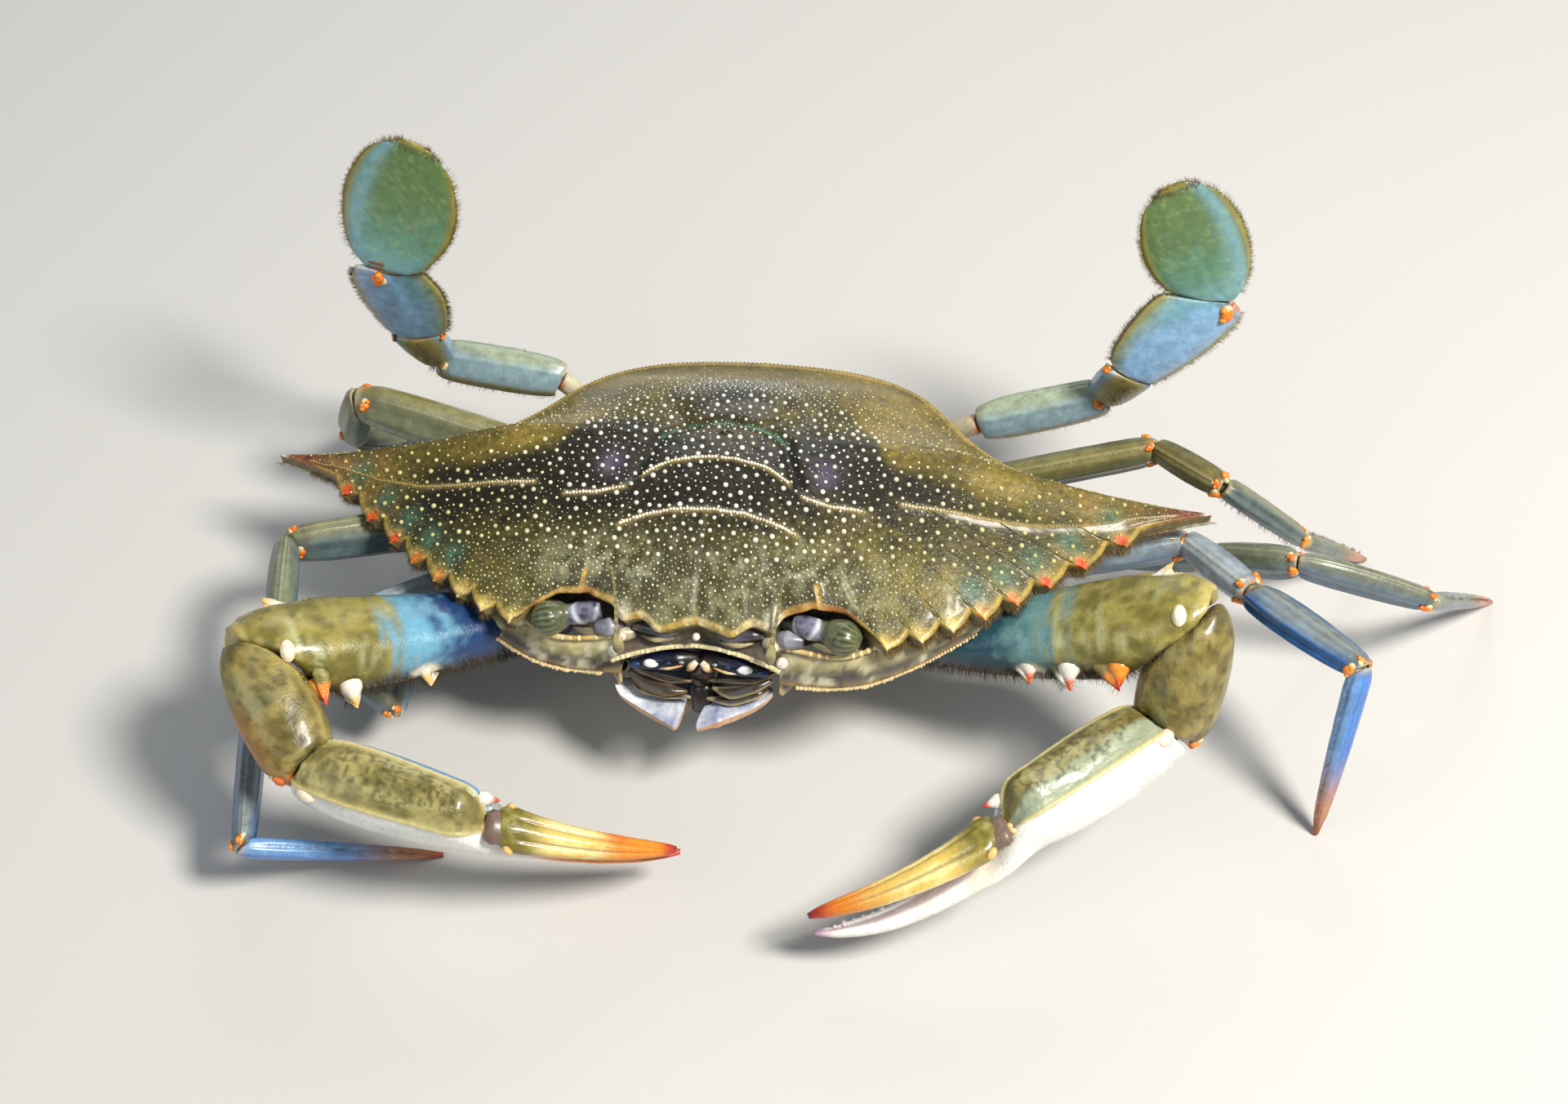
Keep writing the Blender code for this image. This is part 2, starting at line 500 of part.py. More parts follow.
def cheliped(side):
    joints, axes = chain("cheliped", side)
    coxa("cheliped", side, joints, axes)
    s = 1 if side == "L" else -1
    lean = Quaternion(axes[1], math.radians(LEAN["cheliped", side] * s))
    up = lean @ square_to(ZUP, axes[1])
    sag = CHELIPED_SAG[side]
    rows = []
    for t, w, h in CLAW["merus"]:
        rows.append((t, w, h, 0.0, -sag * math.sin(math.pi * min(1.0, max(0.0, t))) ** 1.2))
    points, faces = loft(segment(joints, axes, 1, up, rows, 10, 2.4))
    ahead = axes[1].cross(up) * (-s)                       # towards the front of the crab
    if ahead.y > 0:
        ahead = -ahead
    start, axis = joints[1], axes[1]
    for along, out, rise, length, width in MERUS_SPINES[side]:
        at = start + axis * along + ahead * out + up * rise
        spike(points, faces, at, at + ahead * length + axis * length * 0.45 - up * 0.6, width)
    at = start + axis * 45.5 - ahead * 6.0 + up * 2.0
    spike(points, faces, at, at + axis * 2.6 - ahead * 1.6 + up * 1.4, 1.3)
    add(f"cheliped_merus_{side}", points, faces, "olive", joints[1])

    palm_up = Vector(PALM_UP[side])
    up = square_to(palm_up, axes[2])
    points, faces = loft(segment(joints, axes, 2, up, CLAW["carpus"], 10, 2.3))
    add(f"cheliped_carpus_{side}", points, faces, "olive", joints[2])

    # Palm and fixed finger in one piece; the finger is the lower jaw.
    up = square_to(palm_up, axes[3])
    a, b, axis = joints[3], joints[4], axes[3]
    across = axis.cross(up)
    rise = PALM_RISE[side]
    rings = [oval(a + (b - a) * t + up * rise, across, up, w, h, 12, 2.3) for t, w, h in CLAW["palm"]]
    trim(rings, a, axis, axes[2], 1)
    finger = axes[4]
    jaw_up = square_to(palm_up, finger)
    jaw_side = finger.cross(jaw_up)
    out = jaw_side if jaw_side.y < 0 else -jaw_side
    low = b - up * 2.9
    reach = LENGTHS["cheliped"][3] * CLAW_LENGTH[side]
    slim = FINGER_SLIM[side]
    bow = 4 * FINGER_BOW[side]
    for t, w, h, drop in CLAW["fixed finger"]:
        centre = low + finger * (reach * t) + jaw_up * drop + out * (bow * t * (1 - t))
        rings.append(oval(centre, jaw_side, jaw_up, w, h * slim, 12, 2.2))
    points, faces = loft(rings)
    add(f"cheliped_palm_{side}", points, faces, "olive", joints[3])

    # Movable finger, hinged on the upper jaw.
    lift = finger * math.cos(FINGER_OPEN[side]) + jaw_up * math.sin(FINGER_OPEN[side])
    top_up = square_to(jaw_up, lift)
    high = b + up * 2.1 + axis * 1.5
    rings = []
    for t, w, h, drop in CLAW["movable finger"]:
        centre = high + lift * (0.6 + (reach - 1.4) * t) + top_up * drop + out * (bow * t * (1 - t))
        rings.append(oval(centre, jaw_side, top_up, w, h * slim, 10, 2.2))
    points, faces = loft(rings)
    add(f"cheliped_finger_{side}", points, faces, "red", joints[4])


carapace()
sternum()
abdomen()
mouth_frame()
for SIDE in ("L", "R"):
    third_maxilliped(SIDE)
    eye(SIDE)
    antenna(SIDE)
    cheliped(SIDE)
    for LEG in ("leg2", "leg3", "leg4"):
        walking_leg(LEG, SIDE)
    swimming_leg(SIDE)
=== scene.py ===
"""The look of the blue swimming crab: shell, eyes, mouthparts, legs, spines and setae over the CAD solids.

Lengths are millimetres until a mesh is made. Body frame: x to the crab's left, f forward, z up from the
level of the carapace margin, taken from the carapace node. Colours are sRGB values from 0 to 255.
"""

import math

import bmesh
import bpy
import numpy as np
from mathutils import Matrix, Vector
from mathutils.bvhtree import BVHTree
from mathutils.kdtree import KDTree


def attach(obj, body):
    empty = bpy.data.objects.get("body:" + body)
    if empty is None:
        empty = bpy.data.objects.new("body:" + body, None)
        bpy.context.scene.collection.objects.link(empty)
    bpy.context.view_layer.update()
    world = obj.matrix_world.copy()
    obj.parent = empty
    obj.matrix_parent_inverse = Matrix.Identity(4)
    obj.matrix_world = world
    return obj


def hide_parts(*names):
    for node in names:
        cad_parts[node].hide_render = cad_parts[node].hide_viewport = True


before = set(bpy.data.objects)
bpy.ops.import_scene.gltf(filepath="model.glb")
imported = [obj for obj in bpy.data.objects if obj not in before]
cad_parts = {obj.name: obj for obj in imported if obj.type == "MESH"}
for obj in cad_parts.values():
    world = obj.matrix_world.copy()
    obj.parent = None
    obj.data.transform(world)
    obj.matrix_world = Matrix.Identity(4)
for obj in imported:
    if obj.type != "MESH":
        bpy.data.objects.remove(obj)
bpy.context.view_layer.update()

MM = 0.001
RNG = np.random.default_rng(11)
SIGN = {"L": 1, "R": -1}
CREASE_FROM = math.radians(52)  # the solids' edges stay sharp where they turn by more
CREASE = 0.72               # how sharp, between 0 and 1
HASH_FACTORS = np.array((73856093, 19349663, 83492791), np.uint64)      # large primes that scatter the noise
HASH_MASK = np.uint64(0xFFFFFF)
SPINE_SIDES = 12            # points round a spine; the next two serve setae and folded skin
HAIR_STEPS = 3
FOLD_SIDES = 20
CELL = 3                    # side of the squares that granules are sorted into, in mm

# ---------------------------------------------------------------- driving dimensions of the carapace
PITCH = 4.0                 # degrees, front raised
HALF_WIDTH = 75.0
DOME = 12.4
CENTRE_F = 1.5              # the shell's radial lines meet on the midline here
FRONT = ((0.0, 32.0, 1.3), (2.8, 32.9, 1.2), (5.6, 33.8, 0.9), (8.4, 31.7, 1.3), (11.4, 32.2, 1.2),
         (13.2, 30.0, 2.0), (16.0, 29.2, 2.7), (17.2, 28.7, 2.9), (18.6, 28.9, 2.9), (21.6, 28.7, 2.4),
         (23.0, 29.2, 2.0), (26.2, 30.9, 0.8), (28.6, 33.0, 0.0))
TEETH = ((28.6, 33.0), (33.6, 30.7), (37.9, 28.1), (42.4, 25.1), (46.9, 21.6), (51.4, 17.5),
         (56.4, 12.9), (62.2, 7.3), (HALF_WIDTH, 0.0))
TOOTH_DEPTH = 1.7
REAR = ((HALF_WIDTH, 0.0, 0.4), (69.0, -1.2, -0.1), (63.0, -2.6, -0.3), (56.5, -4.2, -0.5),
        (50.0, -6.0, -0.6), (44.5, -8.4, -0.7), (39.6, -11.8, -0.8), (35.2, -16.2, -0.9),
        (31.4, -21.0, -1.0), (27.6, -25.2, -1.2), (23.0, -28.2, -1.3), (17.5, -30.2, -1.3),
        (11.5, -31.3, -1.3), (5.5, -31.8, -1.3), (0.0, -32.0, -1.3))
# Beaded ridges of the left half, two on the stomach's lobe and two on the gills': (x, forward)
RIDGES = (((0.0, 16.9), (6.0, 17.3), (10.0, 18.2), (13.8, 19.6)),
          ((0.3, 7.4), (3.0, 7.6), (7.6, 8.7), (11.4, 11.2)),
          ((13.8, 13.3), (18.1, 14.2), (23.2, 14.2)),
          ((28.5, 11.9), (34.0, 11.5), (40.3, 10.7), (47.6, 9.3), (56.0, 6.3), (64.0, 3.0), (69.5, 1.2)))
GROOVE = ((0.0, -1.4), (6.5, -0.4), (9.6, 2.4), (11.0, 6.5), (12.6, 11.0))
NOTCH_DROP = 0.35           # how far the shell's rim sinks between two teeth, as a share of the full depth
FISSURE = ((18.4, 29.0), (18.0, 27.6), (17.6, 26.4))
BROW = ((9.5, 26.6), (13.0, 25.4), (17.6, 25.2), (22.0, 26.0))      # a whitish swelling behind each orbit
BROW_SHADE = ((13.5, 28.6), (17.5, 27.4), (22, 28.0))               # a dark line between brow and orbit
REAR_GROOVE = ((6.5, -0.4), (9.5, -4.5), (10.5, -10.0), (8.5, -16.0))


# ---------------------------------------------------------------- numbers and colours
def rgb(red, green, blue):
    """An sRGB colour as linear light."""
    c = np.array((red, green, blue), float) / 255
    return np.where(c <= 0.04045, c / 12.92, ((c + 0.055) / 1.055) ** 2.4)


def step(low, high, x):
    """A smooth rise from 0 at low to 1 at high."""
    t = np.clip((np.asarray(x, float) - low) / (high - low), 0, 1)
    return t * t * (3 - 2 * t)


def bump(x, width):
    """A smooth bell, 1 where x is 0."""
    return np.exp(-(np.asarray(x, float) / width) ** 2)


def linear(colour):
    """Linear light of a colour; a tuple holds sRGB values."""
    return rgb(*colour) if isinstance(colour, tuple) else np.asarray(colour)


def mix(a, b, t):
    """a where t is 0 and b where it is 1; tuples are sRGB colours and arrays linear light."""
    t = np.asarray(t, float)[..., None]
    return linear(a) * (1 - t) + linear(b) * t


def noise(points, size, seed=0, octaves=1):
    """Smooth noise from -1 to 1 at points in mm, its cells `size` mm wide."""
    total, weight = np.zeros(len(points)), 0.0
    for octave in range(octaves):
        p = np.asarray(points, float) / (size / 2 ** octave) + 517.3 + 31.7 * octave
        cell = np.floor(p).astype(np.int64)
        part = p - cell
        part = part * part * (3 - 2 * part)
        value = np.zeros(len(p))
        for corner in range(8):
            offset = np.array([(corner >> k) & 1 for k in range(3)])
            c = (cell + offset).astype(np.uint64)
            h = np.bitwise_xor.reduce(c * HASH_FACTORS, axis=1) ^ np.uint64(seed * 7919 + 12345)
            h = h * np.uint64(2654435761)
            h = (h ^ (h >> np.uint64(15))) & HASH_MASK
            share = np.prod(np.where(offset, part, 1 - part), axis=1)
            value += share * (h.astype(float) / float(HASH_MASK))
        total += (2 * value - 1) / 2 ** octave
        weight += 1 / 2 ** octave
    return total / weight


def line_distance(x, y, line):
    """Distance of plane points from a polyline, and how far along it the nearest point lies."""
    best, along, run = np.full(len(x), 1e9), np.zeros(len(x)), 0.0
    for (x0, y0), (x1, y1) in zip(line, line[1:]):
        dx, dy = x1 - x0, y1 - y0
        length = math.hypot(dx, dy)
        t = np.clip(((x - x0) * dx + (y - y0) * dy) / length ** 2, 0, 1)
        d = np.hypot(x - x0 - t * dx, y - y0 - t * dy)
        along = np.where(d < best, run + t * length, along)
        best = np.minimum(best, d)
        run += length
    return best, along


def spline(points, per_span):
    """A smooth curve through the points, without the last one."""
    p = np.array(points, float)
    p = np.vstack([2 * p[0] - p[1], p, 2 * p[-1] - p[-2]])
    t = np.linspace(0, 1, per_span, endpoint=False)[:, None]
    spans = []
    for a, b, c, d in zip(p, p[1:], p[2:], p[3:]):
        spans.append(0.5 * (2 * b + (c - a) * t + (2 * a - 5 * b + 4 * c - d) * t ** 2
                            + (3 * b - a - 3 * c + d) * t ** 3))
    return np.vstack(spans)


def coats(tint, *layers):
    """The tint under coats of colour, each given with its cover from 0 to 1."""
    for colour, cover in layers:
        tint = mix(tint, colour, cover)
    return tint


def ring_of(sides, across, other):
    """Points round the origin, one row each, of an ellipse given by its two half axes."""
    angles = np.arange(sides) * 2 * math.pi / sides
    return np.cos(angles)[:, None] * across + np.sin(angles)[:, None] * other


def unit(v):
    """Vectors of length 1."""
    v = np.asarray(v, float)
    return v / np.maximum(np.linalg.norm(v, axis=-1, keepdims=True), 1e-9)


# ---------------------------------------------------------------- the body frame, from the carapace node
def coordinates(mesh):
    """A mesh's points in metres."""
    co = np.empty(len(mesh.vertices) * 3)
    mesh.vertices.foreach_get("co", co)
    return co.reshape(-1, 3)


def node_points(name):
    """The corners of a CAD node in mm."""
    return coordinates(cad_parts[name].data) / MM


SHELL = node_points("carapace")
LEFT_TIP = SHELL[SHELL[:, 0] > SHELL[:, 0].max() - 0.15].mean(axis=0)
RIGHT_TIP = SHELL[SHELL[:, 0] < SHELL[:, 0].min() + 0.15].mean(axis=0)
ACROSS = LEFT_TIP - RIGHT_TIP
TURN = np.array(Matrix.Rotation(-math.atan2(ACROSS[2], ACROSS[0]), 3, "Y")
                @ Matrix.Rotation(math.radians(-PITCH), 3, "X"))
BODY_ORIGIN = (LEFT_TIP + RIGHT_TIP) / 2 - TURN @ np.array((0, 0, 0.4))


def placed(points):
    """World millimetres of body-frame points (x, forward, z)."""
    p = np.asarray(points, float)
    return np.stack([p[..., 0], -p[..., 1], p[..., 2]], axis=-1) @ TURN.T + BODY_ORIGIN


def in_body(points):
    p = (np.asarray(points, float) - BODY_ORIGIN) @ TURN
    return np.stack([p[..., 0], -p[..., 1], p[..., 2]], axis=-1)


# ---------------------------------------------------------------- materials
def fill(node, values):
    """Give a shader node its inputs: numbers, colours, or sockets of other nodes."""
    for name, value in values.items():
        socket = node.inputs[name]
        if isinstance(value, bpy.types.NodeSocket):
            node.id_data.links.new(value, socket)
        else:
            socket.default_value = value


def add_node(tree, kind, values, **settings):
    """A new shader node with its settings and inputs."""
    made = tree.nodes.new("ShaderNode" + kind)
    for name, value in settings.items():
        setattr(made, name, value)
    fill(made, values)
    return made


def shell_material(name, roughness, coat, mottle, mottle_size, grain, grain_size, depth, scatter=0.0):
    """Shell: the painted tint, broken up by fine mottling, with a grain in relief and uneven gloss."""
    made = bpy.data.materials.new(name)
    made.use_nodes = True
    tree = made.node_tree
    place = add_node(tree, "TexCoord", {}).outputs["Object"]
    tint = add_node(tree, "Attribute", {}, attribute_name="tint").outputs["Color"]
    patches = add_node(tree, "TexNoise", {"Vector": place, "Scale": 1 / (mottle_size * MM), "Detail": 5.0,
                                          "Roughness": 0.65}).outputs["Fac"]
    shade = add_node(tree, "MapRange", {"Value": patches, "From Min": 0.3, "From Max": 0.7,
                                        "To Min": 1 - mottle, "To Max": 1 + mottle * 0.7}).outputs["Result"]
    colour = add_node(tree, "VectorMath", {0: tint, "Scale": shade}, operation="SCALE").outputs["Vector"]
    fine = add_node(tree, "TexNoise", {"Vector": place, "Scale": 1 / (grain_size * MM),
                                       "Detail": 3.0}).outputs["Fac"]
    pores = add_node(tree, "TexVoronoi", {"Vector": place,
                                          "Scale": 0.55 / (grain_size * MM)}).outputs["Distance"]
    blend = add_node(tree, "Math", {0: pores, 1: -0.6, 2: fine}, operation="MULTIPLY_ADD").outputs["Value"]
    relief = add_node(tree, "Bump", {"Height": blend, "Strength": grain,
                                     "Distance": depth * 0.2 * MM}).outputs["Normal"]
    gloss = add_node(tree, "MapRange", {"Value": patches, "To Min": max(0.05, roughness - 0.12),
                                        "To Max": roughness + 0.16}).outputs["Result"]
    shader = tree.nodes["Principled BSDF"]
    fill(shader, {"Base Color": colour, "Normal": relief, "Roughness": gloss, "Coat Weight": coat,
                  "Coat Roughness": 0.18, "Specular IOR Level": 0.45})
    if scatter:
        fill(shader, {"Subsurface Weight": scatter, "Subsurface Radius": (1.0, 0.7, 0.5),
                      "Subsurface Scale": 1.2 * MM})
    return made


# Name, roughness, coat, mottling and its size in mm, grain, its size and depth in mm, and scattering
MATERIALS = {
    "carapace": shell_material("carapace_shell", 0.42, 0.25, 0.5, 1.1, 0.6, 0.34, 0.8),
    "granule": shell_material("granule_enamel", 0.28, 0.4, 0.16, 0.5, 0.1, 0.1, 0.3),
    "claw": shell_material("claw_shell", 0.36, 0.35, 0.16, 0.8, 0.5, 0.30, 0.6),
    "leg": shell_material("leg_shell", 0.36, 0.35, 0.26, 1.4, 0.35, 0.26, 0.5),
    "pale": shell_material("underside_shell", 0.4, 0.2, 0.2, 1.8, 0.3, 0.3, 0.5),
    "paddle": shell_material("paddle_shell", 0.34, 0.4, 0.22, 1.6, 0.25, 0.3, 0.4, 0.15),
    "mouth": shell_material("mouth_shell", 0.3, 0.4, 0.3, 0.9, 0.3, 0.25, 0.5),
    "membrane": shell_material("joint_membrane", 0.4, 0.3, 0.25, 0.6, 0.35, 0.2, 0.5, 0.2),
    "cornea": shell_material("cornea_shell", 0.16, 0.8, 0.12, 0.5, 0.5, 0.12, 0.4),
    "setae": shell_material("setae_brown", 0.6, 0.0, 0.3, 0.4, 0.1, 0.1, 0.2),
}


# ---------------------------------------------------------------- meshes
def mesh_piece(name, points, faces, material, tint, node=None, mesh=None):
    """A finished piece from points in mm with a tint for each, standing for a CAD node where one is named."""
    points = np.maximum(points, (-np.inf, -np.inf, 0)) * MM
    if mesh is None:
        mesh = bpy.data.meshes.new(name)
        mesh.from_pydata(points.tolist(), [], faces)
    else:
        mesh.name = name
        mesh.vertices.foreach_set("co", points.ravel())
        mesh.update()
    mesh.shade_smooth()
    colour = np.ones((len(mesh.vertices), 4))
    colour[:, :3] = np.clip(tint, 0.0, 1.0)
    mesh.color_attributes.new("tint", "FLOAT_COLOR", "POINT").data.foreach_set("color", colour.ravel())
    mesh.materials.clear()
    mesh.materials.append(MATERIALS[material])
    made = bpy.data.objects.new(name, mesh)
    bpy.context.scene.collection.objects.link(made)
    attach(made, "root")
    if node:
        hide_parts(node)
    return made


def skin(node, mesh, points, material, tint):
    """The piece that stands for a node: its smooth mesh with its points moved."""
    return mesh_piece(node + "_skin", points, None, material, tint, node, mesh=mesh)


def point_normals(mesh):
    normals = np.empty(len(mesh.vertices) * 3)
    mesh.vertex_normals.foreach_get("vector", normals)
    return normals.reshape(-1, 3)


def grid_faces(rows, columns, closed=True, start=0):
    """Quads of a grid of rows, each a ring of columns."""
    faces = []
    for r in range(rows - 1):
        for c in range(columns if closed else columns - 1):
            d = (c + 1) % columns
            faces.append((start + r * columns + c, start + r * columns + d,
                          start + (r + 1) * columns + d, start + (r + 1) * columns + c))
    return faces


def tube_faces(rows, columns):
    """Faces of a tube of rings with both its ends closed."""
    return grid_faces(rows, columns) + [tuple(range(columns))[::-1],
                                        tuple(range((rows - 1) * columns, rows * columns))]


def fan(start, sides):
    """Triangles from a ring of points to the one point that follows it."""
    return [(start + k, start + (k + 1) % sides, start + sides) for k in range(sides)]


def node_bmesh(node):
    """The node's solid with its corners joined, to be freed after use."""
    work = bmesh.new()
    work.from_mesh(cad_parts[node].data)
    bmesh.ops.remove_doubles(work, verts=work.verts, dist=2e-6)
    return work


def cage(node):
    """The node's solid as quads again, its sharp edges creased."""
    work = node_bmesh(node)
    bmesh.ops.join_triangles(work, faces=work.faces, angle_face_threshold=math.radians(48),
                             angle_shape_threshold=math.radians(70))
    crease = work.edges.layers.float.new("crease_edge")
    for edge in work.edges:
        if len(edge.link_faces) == 2 and edge.calc_face_angle(0.0) > CREASE_FROM:
            edge[crease] = CREASE
    mesh = bpy.data.meshes.new(node + "_cage")
    work.to_mesh(mesh)
    work.free()
    return mesh


def subdivided(mesh, levels):
    work = bpy.data.objects.new("work", mesh)
    bpy.context.scene.collection.objects.link(work)
    modifier = work.modifiers.new("smooth", "SUBSURF")
    modifier.levels = modifier.render_levels = levels
    made = bpy.data.meshes.new_from_object(work.evaluated_get(bpy.context.evaluated_depsgraph_get()))
    bpy.data.objects.remove(work)
    return made


def smooth_mesh(node, levels):
    """A subdivision surface that passes through the solid's own corners."""
    mesh = cage(node)
    goal = coordinates(mesh)
    for _ in range(2):
        limit = coordinates(subdivided(mesh, 1))[:len(goal)]
        mesh.vertices.foreach_set("co", (coordinates(mesh) + 0.9 * (goal - limit)).ravel())
        mesh.update()
    return subdivided(mesh, levels)


def joint_between(a, b):
    """Middle of the facing ends of two neighbouring nodes."""
    pa, pb = node_points(a), node_points(b)
    tree = KDTree(len(pb))
    for i, p in enumerate(pb):
        tree.insert(p, i)
    tree.balance()
    gaps = np.array([tree.find(p)[2] for p in pa])
    near = gaps < gaps.min() + 1.6
    return pa[near].mean(axis=0)


class Part:
    """A CAD node as a smooth mesh, with t along it from 0 to 1 and u upwards and v sideways from -1 to 1."""

    def __init__(self, node, before, after, levels, up, own_up, own_axis, foot):
        self.node = node
        self.tree = None
        self.mesh = smooth_mesh(node, levels)
        self.points = coordinates(self.mesh) / MM
        self.normals = point_normals(self.mesh)
        self.joint = self.start = joint_between(node, before) if foot is None else self.foot_near(foot)
        away = np.linalg.norm(self.points - self.start, axis=1)
        self.end = joint_between(node, after) if after else self.points[away.argmax()]
        self.axis = unit(self.end - self.start)
        if own_axis:
            self.straighten()
        self.length = np.linalg.norm(self.end - self.start)
        q = self.points - self.start
        along = q @ self.axis
        self.t = along / self.length
        flat = q - along[:, None] * self.axis
        guess = unit(np.asarray(up, float) - (np.asarray(up, float) @ self.axis) * self.axis)
        values, vectors = np.linalg.eigh(np.cov(flat.T))
        picks = [vectors[:, k] for k in np.argsort(values)[1:]]
        self.up = max(picks, key=lambda d: abs(d @ guess)) if own_up else guess
        self.up = self.up * (1 if self.up @ guess > 0 else -1)
        self.side = np.cross(self.axis, self.up)
        self.u, self.half_u = self.share_of(flat @ self.up)
        self.v, self.half_v = self.share_of(flat @ self.side)
        self.angle = np.arctan2(self.v, self.u)          # 0 on top, quarter turns at the sides

    def foot_near(self, place):
        """Middle of the part's end that lies towards a place."""
        away = np.linalg.norm(self.points - place, axis=1)
        return self.points[away < away.min() + 3.0].mean(axis=0)

    def straighten(self):
        """The axis through the middles of the part's two ends, from one extreme to the other."""
        along = self.points @ self.axis
        low, high = along.min(), along.max()
        first = self.points[along < low + 0.25 * (high - low)].mean(axis=0)
        last = self.points[along > high - 0.25 * (high - low)].mean(axis=0)
        self.axis = unit(last - first)
        along = (self.points - first) @ self.axis
        self.start, self.end = first + self.axis * along.min(), first + self.axis * along.max()

    def share_of(self, values, bins=26):
        stations = np.linspace(-0.05, 1.05, bins)
        low, high = np.full(bins, np.nan), np.full(bins, np.nan)
        for k, s in enumerate(stations):
            near = np.abs(self.t - s) < 0.05
            if near.sum() > 6:
                low[k], high[k] = np.percentile(values[near], (1, 99))
        good = ~np.isnan(low)
        middle = np.interp(self.t, stations[good], ((low + high) / 2)[good])
        half = np.maximum(np.interp(self.t, stations[good], ((high - low) / 2)[good]), 0.2)
        return (values - middle) / half, half

    def spine_tips(self):
        """Middles of the tiny facets that end the node's spines."""
        work = node_bmesh(self.node)
        tips = [np.array(f.calc_center_median()) / MM for f in work.faces if f.calc_area() / MM ** 2 < 0.12]
        work.free()
        merged = []
        for tip in tips:
            alone = all(np.linalg.norm(tip - m) > 1.2 for m in merged)
            if alone and 0.03 < (tip - self.start) @ self.axis / self.length < 0.99:
                merged.append(tip)
        return merged

    def finish(self, material, tint, lift=0.0):
        points = self.points + self.normals * np.asarray(lift)[..., None] if np.ndim(lift) else self.points
        return skin(self.node, self.mesh, points, material, tint)

    def direction(self, angle):
        """Direction out of the section at an angle, 0 being the top and 90 a side."""
        a = math.radians(angle)
        return unit(self.up * math.cos(a) * self.half_u.mean() + self.side * math.sin(a) * self.half_v.mean())

    def at(self, t, angle):
        """Point of the surface and its normal, in mm."""
        near = np.abs(self.t - t) < 0.05
        centre = self.points[near].mean(axis=0) if near.any() else self.start + self.axis * self.length * t
        centre = centre + self.axis * ((self.start - centre) @ self.axis + t * self.length)
        way = self.direction(angle)
        hit, normal, _, _ = self.tree_of().ray_cast(Vector(centre + way * 60), Vector(-way))
        if hit is None:
            return centre, way
        return np.array(hit), np.array(normal)

    def tree_of(self):
        if self.tree is None:
            polygons = [tuple(p.vertices) for p in self.mesh.polygons]
            self.tree = BVHTree.FromPolygons(self.points.tolist(), polygons)
        return self.tree

    def near(self, place, size):
        """Closeness of the points to a place, 1 within the size and 0 at twice it."""
        return 1 - step(size, 2 * size, np.linalg.norm(self.points - place, axis=1))


